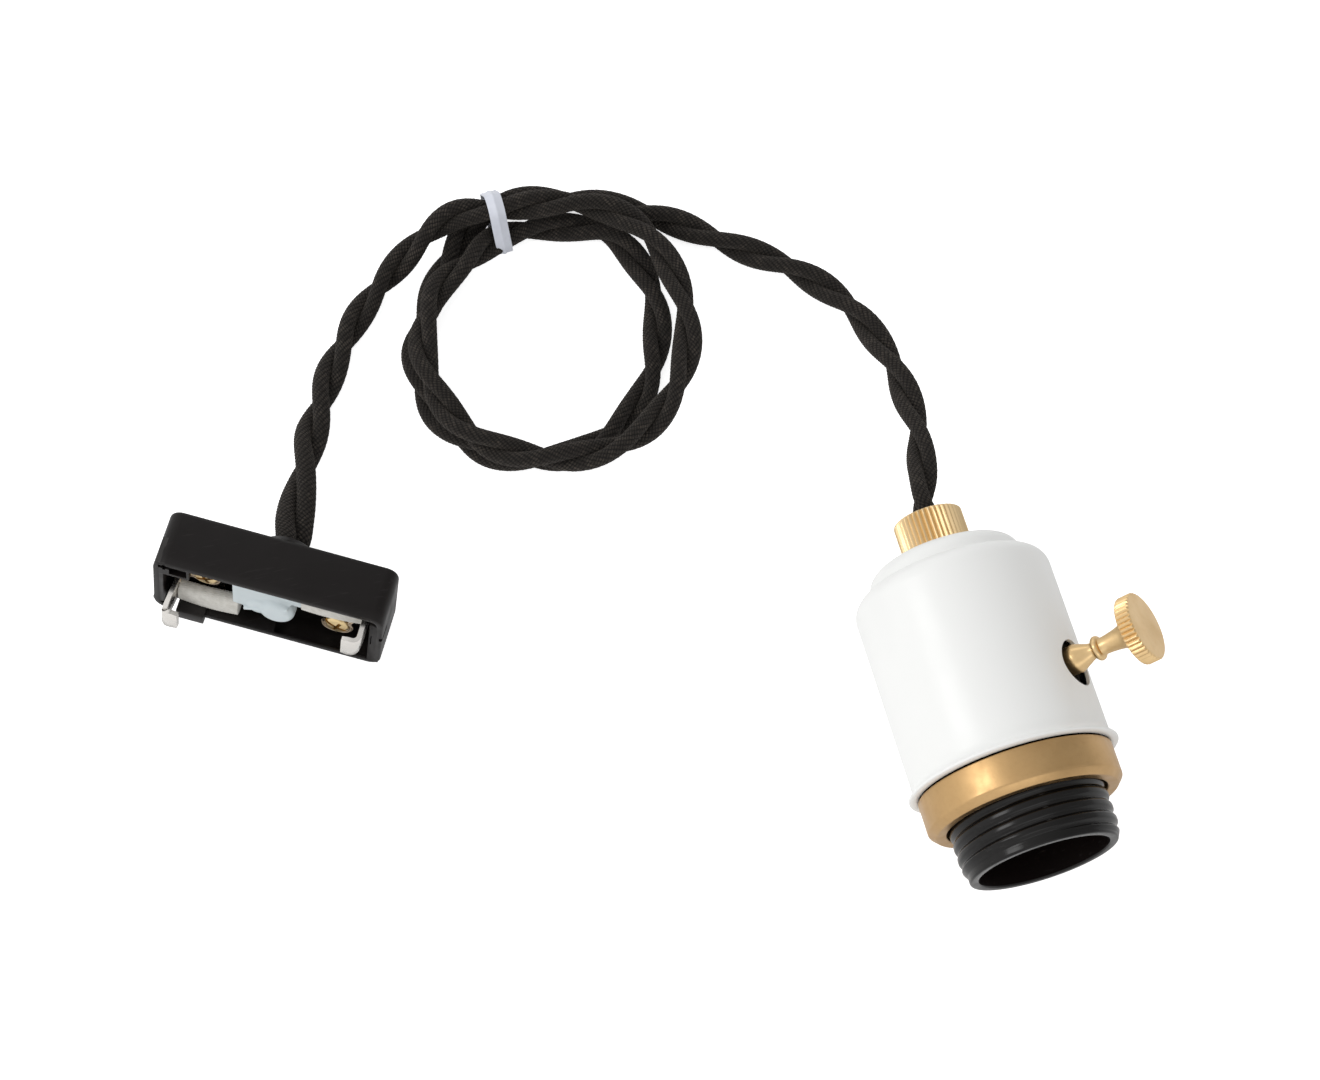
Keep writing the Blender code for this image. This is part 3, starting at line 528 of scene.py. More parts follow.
# ---- lampholder ----
SHELL_R = 23.45
SHELL_WALL = 0.8
STEP_R = 18.4
LEDGE_Z = 49.1
TOP_Z = 54.2
STEP_ROUND = 4.4
SHELL_ROUND = 4.6
FLAT_R = 9.0  # the plain ring on top, round the nut
RIM_BEAD = 0.38
RIM_BEAD_R = 24.51
RIM_BEAD_Z = 0.62
NUT_HOLE_R = 5.3
KEY_HOLE_R = 5.65
KEY_HOLE_DROP = 0.85


def shell_side(inset):
    """The shell's two steps, moved inwards by inset, from the top face down to the wall."""
    dome = arc(STEP_R - STEP_ROUND, TOP_Z - STEP_ROUND, STEP_ROUND - inset, 90, 8, 14)
    hollow = arc(STEP_R + 0.95 - inset * 0.7, LEDGE_Z + 0.75 - inset * 0.8, 0.85, 190, 262, 6)
    shoulder = arc(SHELL_R - SHELL_ROUND, LEDGE_Z - SHELL_ROUND, SHELL_ROUND - inset, 78, 0, 14)
    return dome + hollow + shoulder


def make_shell():
    outer = [(NUT_HOLE_R, TOP_Z), (FLAT_R, TOP_Z)] + shell_side(0.0)
    outer += [(SHELL_R, z) for z in (36.0, 24.0, 12.0, 3.4)]
    outer += [(SHELL_R + flare, z) for flare, z in
              ((0.06, 2.7), (0.22, 2.1), (0.52, 1.55), (0.88, 1.2), (1.13, 1.05))]
    outer += arc(RIM_BEAD_R, RIM_BEAD_Z, RIM_BEAD, 80, -80, 6)
    inner = [(24.3, 0.14), (23.7, 0.06), (22.85, 0.04)]
    inner += [(SHELL_R - SHELL_WALL, z) for z in (0.24, 12.0, 30.0)]
    inner += shell_side(SHELL_WALL)[::-1]
    inner += [(FLAT_R, TOP_Z - SHELL_WALL), (NUT_HOLE_R, TOP_Z - SHELL_WALL)]
    shell = lathe("shell", outer + inner, LAMP, 128, ring=True, sharp=50)
    carve(shell, [lathe("drill", [(KEY_HOLE_R, 14.0), (KEY_HOLE_R, 30.0)],
                        moved(KEY, KEY_HOLE_DROP, 0), 72)], sharp=50)
    dress(shell, "lampholder", "white_paint", "shell_cover")


THREAD_R = 18.5
THREAD_ROOT_R = 17.8
THREAD_PITCH = 3.0
THREAD_PHASE = -11.2  # a crest's station at angle 0
THREAD_LOW = -20.6  # between these two the thread is cut
THREAD_HIGH = 0.8
THREAD_SHARP = 75
LIP_R = 17.5
MOUTH_Z = -21.5
MOUTH_BORE_R = 15.35
BODY_R = 22.0
BODY_TOP_Z = 11.0
BODY_FLOOR_Z = 7.0
BODY_HOLE_R = 4.0
ASSEMBLY_R = 10.4
ASSEMBLY_HOLE_R = 1.8


def thread_height(z, angles):
    """0 in the grooves to 1 on the rounded crests of a right-handed thread."""
    turns = (z - THREAD_PHASE) / THREAD_PITCH - angles / TURN
    groove = (1 - np.cos(TURN * turns)) / 2
    return 1 - groove ** 2.2


def assembly_drills(low, high):
    """Drills for the holes of the two assembly screws, between two heights."""
    places = [moved(LAMP, side * ASSEMBLY_R * math.sin(KEY_TILT),
                    side * ASSEMBLY_R * math.cos(KEY_TILT)) for side in (-1, 1)]
    return [lathe("drill", [(ASSEMBLY_HOLE_R, low), (ASSEMBLY_HOLE_R, high)], place, 24)
            for place in places]


def make_threaded_body():
    def threaded(radius, z, angles):
        if not THREAD_LOW < z < THREAD_HIGH or radius[0] < THREAD_ROOT_R - 0.4:
            return radius
        fade = (np.clip((z - THREAD_LOW - 0.2) / 1.9 + 0.35 * np.cos(angles), 0, 1)
                * np.clip((THREAD_HIGH - z) / 1.5, 0, 1))
        base = THREAD_ROOT_R + (LIP_R - THREAD_ROOT_R) * np.clip((-17.5 - z) / 2.0, 0, 1)
        return base + (THREAD_R - base) * thread_height(z, angles) * fade

    outer = [(BODY_HOLE_R, BODY_TOP_Z), (BODY_R - 0.5, BODY_TOP_Z), (BODY_R, BODY_TOP_Z - 0.5),
             (BODY_R, 1.6), (BODY_R - 0.4, 1.2), (THREAD_ROOT_R + 0.3, 1.2)]
    stations = np.arange(0.9, MOUTH_Z + 0.55, -0.1)
    outer += [(THREAD_ROOT_R if z > THREAD_LOW else LIP_R, float(z)) for z in stations]
    outer += arc(LIP_R - 0.5, MOUTH_Z + 0.5, 0.5, 0, -90, 6)
    outer += [(MOUTH_BORE_R + 0.35, MOUTH_Z), (MOUTH_BORE_R + 0.1, MOUTH_Z + 0.12),
              (MOUTH_BORE_R, MOUTH_Z + 0.4)]
    outer += [(MOUTH_BORE_R, z) for z in (-14.0, -7.0, 0.0, BODY_FLOOR_Z)]
    outer += [(BODY_HOLE_R, BODY_FLOOR_Z)]
    body = lathe("thread_body", outer, LAMP, 216, ring=True, shape=threaded,
                 sharp=THREAD_SHARP)
    carve(body, assembly_drills(2.0, 16.0), sharp=THREAD_SHARP)
    dress(body, "lampholder", "black_resin", "threaded_body", look=gloss_look)
    body.data.materials.append(bore_shade_look)
    # faces inside the mouth's bore take the copy with painted shade
    to_lamp = LAMP.inverted()
    for face in body.data.polygons:
        spot = to_lamp @ (face.center / MM)
        if spot.z < BODY_FLOOR_Z and math.hypot(spot.x, spot.y) < MOUTH_BORE_R + 0.02:
            face.material_index = 1


def make_screw_shell():
    """Rolled E26 lamp thread, a true helix, with the seat the assembly screws hold."""
    pitch, depth, edge, hole = 3.6, 0.36, 14.4, 8.0
    top = BODY_FLOOR_Z - 0.3

    def rolled(radius, z, angles):
        if not -9.3 < z < top - 2.2 or radius[0] < 12:
            return radius
        turns = z / pitch - angles / TURN
        return radius - depth + depth * np.cos(TURN * turns)

    stations = np.arange(top - 1.0, -9.6, -0.3)
    outer = [(hole, top), (edge - 0.2, top), (edge, top - 0.2)]
    outer += [(edge, float(z)) for z in stations]
    outer += arc(edge - 0.15, -9.7, 0.25, 0, -180, 4)
    inner = [(edge - 0.5, float(z)) for z in stations[::-1]]
    inner += [(edge - 0.6, top - 0.5), (hole, top - 0.5)]
    shell = lathe("lamp_thread", outer + inner, LAMP, 96, ring=True, shape=rolled, sharp=50)
    carve(shell, assembly_drills(5.0, 8.0), sharp=50)
    dress(shell, "lampholder", "nickel", "lamp_screw_shell")


def make_shade_ring():
    top, low = -0.3, -9.4
    outer, bore, bevel, seat = 23.0, 18.95, 1.6, 21.8
    profile = [(seat, top), (outer - 0.35, top)] + arc(outer - 0.3, top - 0.3, 0.3, 90, 0, 4)
    profile += [(outer, -3.0), (outer, low + bevel + 0.5)]
    profile += arc(outer - 0.9, low + bevel + 0.35, 0.9, 0, -42, 5)
    profile += arc(outer - bevel - 0.15, low + 0.6, 0.6, -48, -90, 5)
    profile += [(bore + 0.5, low)] + arc(bore + 0.4, low + 0.4, 0.4, -90, -180, 4)
    profile += [(bore, -5.0), (bore, top - 1.4), (seat, top - 1.4)]
    ring = lathe("ring_body", profile, LAMP, 128, ring=True, sharp=40)
    dress(ring, "ring", "aged_brass", "shade_ring")


def knurl(count, depth, edge):
    """Straight V knurl with softened tops for a rim of radius edge."""
    def shape(radius, z, angles):
        ridge = np.abs((angles * count / TURN) % 1.0 - 0.5) * 2
        cut = edge - depth * np.clip(1.18 * ridge ** 1.3 - 0.04, 0, 1)
        return np.where(radius > edge - depth, np.minimum(radius, cut), radius)
    return shape


NUT_R = 8.25
NUT_TOP_Z = 64.7
NUT_RIDGES = 40
NUT_RIDGE_DEEP = 0.55


def make_gland_nut():
    low = TOP_Z + 0.3
    profile = [(5.5, low)]
    profile += [(NUT_R - r, low + z) for r, z in ((0.45, 0.0), (0.12, 0.18), (0.0, 0.45))]
    profile += [(NUT_R, low + 0.45 + i * 1.0) for i in range(1, 9)]
    profile += [(NUT_R - r, NUT_TOP_Z - z) for r, z in
                ((0.0, 0.55), (0.1, 0.28), (0.35, 0.08), (0.75, 0.0))]
    profile += [(r, NUT_TOP_Z - z) for r, z in
                ((5.9, 0.0), (5.5, 0.1), (5.0, 0.5), (4.9, 0.8))] + [(4.9, 62.4), (5.5, 62.4)]
    nut = lathe("nut_body", profile, LAMP, NUT_RIDGES * 8, ring=True,
                shape=knurl(NUT_RIDGES, NUT_RIDGE_DEEP, NUT_R), sharp=32)
    dress(nut, "nut", "polished_brass", "gland_nut")


KEY_DISC_R = 8.15
KEY_FACE = 41.9
KEY_DISC_T = 3.6
KEY_RIDGES = 42
KEY_RIDGE_DEEP = 0.48
# radius and distance behind the disc, above and below the turned bead
KEY_NECK = ((5.4, 0.12), (4.3, 0.45), (3.55, 1.0), (3.0, 1.9), (2.62, 3.1), (2.34, 4.6),
            (2.14, 6.2), (2.06, 7.5))
KEY_FOOT = ((1.86, 10.05), (1.86, 10.35), (2.1, 11.2), (2.6, 12.4), (3.1, 13.6),
            (3.35, 14.25), (3.42, 14.7), (3.36, 15.2))
TERMINAL_SCREW_R = 13.5


def make_key():
    face, back = KEY_FACE, KEY_FACE - KEY_DISC_T
    profile = [(0.6, face), (4.0, face)]
    profile += [(KEY_DISC_R - r, face - z) for r, z in
                ((0.75, 0.0), (0.42, 0.03), (0.2, 0.14), (0.0, 0.35))]
    profile += [(KEY_DISC_R, face - 0.35 - i * 0.48) for i in range(1, 6)]
    profile += [(KEY_DISC_R - r, back + z) for r, z in
                ((0.0, 0.35), (0.2, 0.12), (0.5, 0.0), (1.2, -0.05))]
    profile += [(r, back - z) for r, z in KEY_NECK]
    profile += arc(1.98, back - 8.95, 0.97, 78, -78, 9)
    profile += [(r, back - z) for r, z in KEY_FOOT]
    profile += [(3.3, 21.0), (0.6, 21.0)]
    key = lathe("key_body", profile, KEY, KEY_RIDGES * 8,
                shape=knurl(KEY_RIDGES, KEY_RIDGE_DEEP, KEY_DISC_R), sharp=32)
    dress(key, "key", "polished_brass", "key_knob", look=key_look)


def make_screw_heads():
    """Slotted heads over the terminals on top of the switch."""
    for side, name in ((-1, "neutral"), (1, "live")):
        place = moved(LAMP, side * TERMINAL_SCREW_R * math.cos(KEY_TILT),
                      -side * TERMINAL_SCREW_R * math.sin(KEY_TILT))
        screw = lathe("terminal_screw_" + name,
                      [(0.4, 34.6), (1.6, 34.55), (2.3, 34.35), (2.8, 33.9), (2.9, 33.4),
                       (2.9, 32.5), (2.8, 32.4), (1.5, 32.4), (1.5, 31.3), (0.4, 31.3)],
                      place, 40)
        carve(screw, [box_mesh("slot", (-4, -0.4, 33.8), (4, 0.4, 36), place, 0)])
        dress(screw, "lampholder", "inner_brass", "lamp_terminal_screw_" + name)


# ---- cord ----
PAIR_R = 1.77  # strand centres off the cord's middle
STRAND_RADIAL = 1.84
STRAND_ACROSS = 2.02
SWELL = 0.27  # how much fuller the strands are at the plug
SWELL_REACH = 70.0
STITCH_HIGH = 0.14
TWIST_BLUR = (-4.0, -2.0, 2.0, 4.0)  # softens the corners between TWIST's entries
TWIST = ((-8, -1.18), (12, -0.5), (27, 0), (97, 4), (197, 9), (391, 19), (583, 29), (621, 31),
         (663, 33), (700, 34.7))  # (length along the cord, half turns)
LOOP_CENTRE = Vector((-13.0, 60.0))
LOW = 3.8
HIGH = 11.0
PLUG_ARM = ((-82.1, 29.1, 11.5), (-76.6, 43.6, 7.5), (-69.5, 59.0, 4.6), (-58.3, 75.9, 4.0),
            (-44.5, 88.4, 5.6), (-26.0, 96.6, 11.8))
TURNS = ((-3, 35.4, 12.2), (30, 37.0, HIGH), (55, 38.3, 10.6), (85, 36.2, 10.4),
         (115, 35.8, 10.5), (150, 35.8, HIGH), (180, 33.5, HIGH), (220, 31.4, HIGH),
         (250, 29.5, HIGH), (280, 28.8, HIGH), (310, 28.2, 10.6), (335, 28.1, 8.5),
         (358, 31.4, 5.1), (380, 32.9, 3.9), (405, 34.8, LOW), (435, 31.2, LOW),
         (465, 28.2, LOW), (500, 28.0, LOW), (540, 29.6, LOW), (580, 30.8, LOW),
         (610, 31.2, LOW), (640, 31.0, LOW), (665, 30.0, LOW), (695, 34.4, LOW),
         (716, 39.8, 5.1))  # (clock degrees, radius, height)
LAMP_ARM = ((3.0, 97.3, 3.9), (22.7, 87.6, LOW), (38.8, 74.6, LOW), (52.7, 62.9, 4.2),
            (62.6, 48.0, 6.4), (66.7, 30.0, 11.0), (66.4, 11.0, 17.2), (63.0, -4.5, 23.0))
CORD_END_Z = 63.6
SPLIT_AT = 115.0  # under the tie, where each strand is two pieces
INTO_BOSS = 3.2
INTO_NUT = 3.4
ROW_STEP = BRAID_LONG / 4
STRAND_COLS = BRAID_ROUND * 4


def turn_point(clock, radius, height):
    angle = math.radians(clock)
    return Vector((LOOP_CENTRE.x + radius * math.sin(angle),
                   LOOP_CENTRE.y + radius * math.cos(angle), height))


def cord_line():
    """Lengths along the cord's middle, from the plug's boss, and the points there."""
    outlet = PLUG_CENTRE + PLUG_BACK * (PLUG_DEEP / 2 + BOSS_HIGH - 1.2)
    line = [outlet, outlet + PLUG_BACK * 4.0]
    line += [Vector(p) for p in PLUG_ARM]
    line += [turn_point(*t) for t in TURNS]
    line += [Vector(p) for p in LAMP_ARM]
    inlet = LAYOUT_FLANGE + Vector((0, CORD_END_Z, 0))
    line += [inlet + Vector((0, 4.5, 0)), inlet]
    fine = np.array([tuple(p + SHIFT) for p in catmull(line, 0.5)])
    start = fine[0] - np.array(PLUG_BACK) * INTO_BOSS
    end = fine[-1] + np.array((0, -INTO_NUT, 0))
    fine = np.vstack([start, fine, end])
    length = np.concatenate([[0], np.cumsum(np.linalg.norm(np.diff(fine, axis=0), axis=1))])
    return length - INTO_BOSS, fine


CORD_LENGTHS, CORD_POINTS = cord_line()


def cord_at(s):
    """Points of the cord's middle at the lengths s."""
    return np.stack([np.interp(s, CORD_LENGTHS, CORD_POINTS[:, k]) for k in range(3)], -1)


def smooth(x):
    x = np.clip(x, 0, 1)
    return x * x * (3 - 2 * x)


def strand_grid(side, s):
    """Rings of one strand of the S-twisted pair at the lengths s."""
    here = cord_at(s)
    along = cord_at(s + 1.5) - cord_at(s - 1.5)
    along /= np.linalg.norm(along, axis=1)[:, None]
    across = np.cross(along, (0, 0, 1.0))
    across /= np.linalg.norm(across, axis=1)[:, None]
    up = np.cross(across, along)
    knots, halves = zip(*TWIST)
    turns = np.interp(s, knots, halves)
    for shift in TWIST_BLUR:
        turns = turns + np.interp(s + shift, knots, halves)
    angle = (turns / (len(TWIST_BLUR) + 1) + 0.5 + side) * math.pi
    radial = across * np.cos(angle)[:, None] + up * np.sin(angle)[:, None]
    tangent = up * np.cos(angle)[:, None] - across * np.sin(angle)[:, None]
    swell = 1 + SWELL * (1 - smooth(s / SWELL_REACH))
    spread = 0.12 * np.clip(1 - s / 24.0, 0, 1)
    psi = round_angles(STRAND_COLS)
    u, v = psi[None, :] * BRAID_ROUND / 2, s[:, None] * math.pi / BRAID_LONG
    left, right = np.sin(u + v), np.sin(u - v)
    leaning = np.abs(left) * np.abs(right) ** STITCH_POWER
    crossing = np.abs(left) ** STITCH_POWER * np.abs(right)
    relief = STITCH_HIGH * (np.where(left * right > 0, leaning, crossing) - 0.5)
    fuller = 1 + 0.02 * np.sin(s / 7.3 + side) + 0.015 * np.sin(s / 3.1 + 2 * side)
    a = (STRAND_RADIAL * swell * fuller)[:, None] + relief
    b = (STRAND_ACROSS * swell * fuller)[:, None] + relief
    centre = here + radial * (PAIR_R * swell + spread)[:, None]
    return (centre[:, None, :] + radial[:, None, :] * (a * np.cos(psi))[:, :, None]
            + tangent[:, None, :] * (b * np.sin(psi))[:, :, None])


def strand_uvs(rows, cols, s):
    """Per-corner UVs: turns round the strand, and mm along it; fans keep their ring's."""
    uvs = []
    for r in range(rows - 1):
        for c in range(cols):
            u0, u1 = c / cols, (c + 1) / cols
            uvs += [(u0, s[r]), (u1, s[r]), (u1, s[r + 1]), (u0, s[r + 1])]
    for ring, flip in ((0, True), (rows - 1, False)):
        for c in range(cols):
            ends = [(c / cols, s[ring]), ((c + 1) / cols, s[ring])]
            uvs += (ends[::-1] if flip else ends) + [((c + 0.5) / cols, s[ring])]
    return uvs


def make_cord():
    total = CORD_LENGTHS[-1]

    for side, letter in enumerate("ab"):
        halves = (("plug_side", -INTO_BOSS, SPLIT_AT), ("lamp_side", SPLIT_AT, total))
        for part, first, last in halves:
            count = round((last - first) / ROW_STEP)
            s = np.linspace(first, last, count + 1)
            piece = skin(f"strand_{letter}_{part}", strand_grid(side, s), WORLD, sharp=80,
                         uvs=strand_uvs(len(s), STRAND_COLS, s))
            dress(piece, None, "black_cotton", "cord_strand_" + letter)
            if part == "plug_side":
                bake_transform(piece)
            else:
                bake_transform(piece)


TIE_WIDE = 4.0
TIE_T = 0.45
TIE_REACH = 3.75


def make_tie():
    """A flat tie with a wire rib along its middle, drawn round the three passes."""
    corners = [turn_point(*t) + SHIFT for t in (TURNS[12], TURNS[-1], TURNS[0])]
    loop = [Vector((p.y, p.z)) for p in corners]
    path = []
    for i, corner in enumerate(loop):
        into = corner - loop[i - 1]
        out_of = loop[(i + 1) % 3] - corner
        start = math.degrees(math.atan2(-into.x, into.y))
        sweep_by = -math.degrees(into.angle_signed(out_of))
        path += [(corner, Vector(p)) for p in arc(0, 0, 1, start, start + sweep_by, 10)]
        path += [(corner.lerp(corner + out_of, k / 8), path[-1][1]) for k in range(1, 8)]
    half, t = TIE_WIDE / 2, TIE_T
    section = [(-half, 0.08), (-half + 0.15, 0.0), (-0.6, 0.0), (-0.3, -0.10), (0.3, -0.10),
               (0.6, 0.0), (half - 0.15, 0.0), (half, 0.08), (half, t - 0.08), (half - 0.15, t),
               (0.55, t), (0.32, t + 0.16), (0.0, t + 0.26), (-0.32, t + 0.16), (-0.55, t),
               (-half + 0.15, t), (-half, t - 0.08)]
    middle = sum(p.x for p in corners) / 3
    rows = []
    for i, (at, out) in enumerate(path):
        sway = 0.03 * math.sin(i * 0.35)
        lift = 0.03 * math.sin(i * 0.7)
        spots = [(x, at + out * (TIE_REACH + h + lift)) for x, h in section]
        rows.append([(middle + x + sway, spot.x, spot.y) for x, spot in spots])
    tie = skin("tie_band", np.array(rows), WORLD, wrap_rows=True, sharp=50)
    dress(tie, "cord", "tie_white", "coil_tie")


# ---- plug ----
WALL = 1.6
CORNER = 3.2
BOSS_R = 6.3
BOSS_BORE_R = 4.9
TERMINAL_Z = 6.3
BLADE_T = 1.2
BLADE_OUT = 23.6
BLADE_OFF = 5.25
BLADE_WIDE = 7.0
BLADE_REACH = 5.7
BLADE_FOOT = 4.4
BLADE_CUT = 1.9  # how far the hook's outer corner is cut back
LEAN_FROM_Z = 2.0
LEAN_OUT = 0.14
LEAN_DOWN = 0.05
SCREW_X = 16.0
SCREW_Y = 3.25
PLUG_BLOCKS = (  # low corner, high corner, bevel
    ((-27.2, -10.9, 0.05), (-19.0, -5.6, 5.2), 0.25),  # round the corner recess
    ((-27.2, -10.9, 0.06), (-25.2, 8.6, 7.0), 0.25),  # inside the left end
    ((24.4, -8.0, 0.06), (27.2, 10.4, 7.0), 0.25),  # inside the right end
    ((-22.0, 8.8, -1.3), (-15.2, 12.2, 4.2), 0.3),  # lug under the lower wall
    ((1.5, 8.9, 0.55), (24.5, 11.0, 6.0), 0.3),  # ledge on the lower wall
    ((-4.5, -10.4, 0.5), (6.0, -9.0, 5.0), 0.3),  # ledge on the upper wall
    ((-10.2, 3.5, 5.5), (-9.0, 10.9, 13.4), 0.25),  # ribs on the floor
    ((9.0, -10.9, 5.5), (10.2, -3.5, 13.4), 0.25),
    ((-28.25, 9.3, 1.2), (-27.2, 10.7, 6.8), 0.2),  # lug on the left end
)
PLUG_CUTS = (  # low corner, high corner
    ((-26.4, -10.0, -1.0), (-23.6, -8.6, 2.4)),  # the corner recess, key-shaped
    ((-25.4, -10.4, -1.0), (-24.7, -8.0, 2.4)),
    ((-23.8, -9.9, -1.0), (-19.6, -6.6, 3.0)),
    ((-24.9, 9.0, -2.0), (-22.05, 13.0, 3.2)),  # notch beside the lug
    ((-27.0, -11.9, -1.0), (-26.2, -11.0, 0.8)),  # nicks in the edges
    ((26.9, -2.7, -1.0), (29.0, -1.3, 4.5)),
    ((24.9, -3.0, -1.0), (25.15, 1.5, 1.2)),
)


def terminal_place(side):
    return moved(PLUG, side * SCREW_X, side * SCREW_Y)


def rounded_outline(inset, radius, per=8):
    """Rounded rectangle round the plug, moved inwards by inset."""
    hx, hy = PLUG_LONG / 2 - inset, PLUG_WIDE / 2 - inset
    radius = max(radius, 0.2)
    out = []
    for cx, cy, start in ((hx - radius, hy - radius, 0), (-hx + radius, hy - radius, 90),
                          (-hx + radius, -hy + radius, 180), (hx - radius, -hy + radius, 270)):
        out += arc(cx, cy, radius, start, start + 90, per - 1)
    return out


def make_plug_body():
    def ring(inset, z, radius=None):
        corner = CORNER - inset if radius is None else radius
        return [(x, y, z) for x, y in rounded_outline(inset, corner)]

    back = PLUG_DEEP
    rows = [ring(8.0, back, 1.0), ring(2.2, back, 1.6)]
    rows += [ring(1.1 - 1.1 * math.sin(a), back - 1.1 + 1.1 * math.cos(a))
             for a in np.linspace(0, math.pi / 2, 6)]
    rows += [ring(0.0, 9.0), ring(0.0, 4.0), ring(0.0, 0.35), ring(0.12, 0.1), ring(0.35, 0.0)]
    rows += [ring(WALL - 0.25, 0.0), ring(WALL - 0.06, 0.08), ring(WALL, 0.3)]
    rows += [ring(WALL, 4.0), ring(WALL, back - WALL - 0.6), ring(WALL + 0.2, back - WALL - 0.15),
             ring(WALL + 0.6, back - WALL, 1.0), ring(8.0, back - WALL, 1.0)]
    body = skin("plug_case", np.array(rows), PLUG, sharp=40)
    boss = lathe("boss", [(0.5, back + BOSS_HIGH)] + [(BOSS_R - 1.6, back + BOSS_HIGH)]
                 + arc(BOSS_R - 1.0, back + BOSS_HIGH - 1.2, 1.2, 80, 25, 6)
                 + [(BOSS_R + 0.9, back + 1.7), (BOSS_R + 1.7, back + 1.0),
                    (BOSS_R + 2.6, back + 0.4), (BOSS_R + 3.6, back - 0.2),
                    (BOSS_R + 3.6, back - 0.8), (0.5, back - 0.8)],
                 PLUG, 64)
    posts = [lathe("post", [(0.5, 7.8), (3.2, 7.8), (3.6, 8.2), (3.6, back - 0.8),
                            (0.5, back - 0.8)], terminal_place(side), 32) for side in (-1, 1)]
    blocks = [box_mesh("block", low, high, PLUG, bevel) for low, high, bevel in PLUG_BLOCKS]
    carve(body, [boss] + posts + blocks, "UNION", sharp=40)
    bore = lathe("bore", [(BOSS_BORE_R, back - 3.0), (BOSS_BORE_R, back + BOSS_HIGH - 0.5),
                          (BOSS_BORE_R + 0.5, back + BOSS_HIGH + 0.3),
                          (BOSS_BORE_R + 0.5, back + 6.0)], PLUG, 64)
    cuts = [box_mesh("cut", low, high, PLUG, 0) for low, high in PLUG_CUTS]
    drills = [lathe("drill", [(1.7, 5.5), (1.7, back - 1.0)], terminal_place(side), 24)
              for side in (-1, 1)]
    carve(body, [bore] + cuts + drills, sharp=40)
    dress(body, "plug", "black_resin", "plug_body")


def blade_path(side):
    """Middle line of the hook in local X and Z."""
    x = BLADE_OUT - BLADE_T / 2
    front = -BLADE_REACH + BLADE_T / 2
    line = [(BLADE_OUT - 5.6, TERMINAL_Z + BLADE_T / 2)]
    line += arc(x - 1.3, TERMINAL_Z + BLADE_T / 2 - 1.3, 1.3, 90, 0, 5)
    line += [(x, 3.0), (x, 0.0), (x, -2.4)]
    line += arc(x - 1.5, front + 1.5, 1.5, 0, -90, 7)
    line += [(x - 2.4, front), (BLADE_OUT - BLADE_FOOT, front)]
    return [(side * px, pz) for px, pz in line]


def make_blades():
    """Hooked strips; the left one leans a little outwards, to follow the photograph."""
    for side, name in SIDES:
        line = blade_path(side)
        rows = []
        for i, (px, pz) in enumerate(line):
            qx, qz = line[max(i - 1, 0)]
            rx, rz = line[min(i + 1, len(line) - 1)]
            along = Vector((rx - qx, rz - qz)).normalized()
            out = Vector((-along.y, along.x)) * (BLADE_T / 2)
            cut = 0.0
            if abs(px) > BLADE_OUT - 0.7 and pz < 0.5:
                cut = BLADE_CUT * smooth((-0.8 - pz) / 3.6)
            elif pz < 0.5:
                near = max(0.0, min(1.0, (abs(px) - (BLADE_OUT - 3.2)) / 2.6))
                cut = BLADE_CUT * (1 - math.sqrt(1 - near * near))
            tip = 0.35 if i == len(line) - 1 else 0.0
            lo = -side * BLADE_OFF - BLADE_WIDE / 2 + tip + (cut if side < 0 else 0.0)
            hi = -side * BLADE_OFF + BLADE_WIDE / 2 - tip - (cut if side > 0 else 0.0)
            ring = [(px + out.x * o, y, pz + out.y * o) for y, o in
                    ((lo, -0.9), (lo + 0.12, -1), (hi - 0.12, -1), (hi, -0.9), (hi, 0.9),
                     (hi - 0.12, 1), (lo + 0.12, 1), (lo, 0.9))]
            if side < 0:
                ring = [(x - LEAN_OUT * max(0.0, LEAN_FROM_Z - z),
                         y + LEAN_DOWN * max(0.0, LEAN_FROM_Z - z), z) for x, y, z in ring]
            rows.append(ring)
        hook = skin("blade_hook_" + name, np.array(rows), PLUG, sharp=40)
        dress(hook, "plug", "nickel", "plug_blade_" + name)
        x0, x1 = sorted((side * 12.2, side * 22.4))
        y0, y1 = sorted((-side * (BLADE_OFF + BLADE_WIDE / 2), side * (SCREW_Y + 3.2)))
        base = box_mesh("blade_base_" + name, (x0, y0, TERMINAL_Z),
                        (x1, y1, TERMINAL_Z + BLADE_T), PLUG, 0.2)
        carve(base, [lathe("drill", [(1.8, 5), (1.8, 9)], terminal_place(side), 32)])
        dress(base, "plug", "nickel")


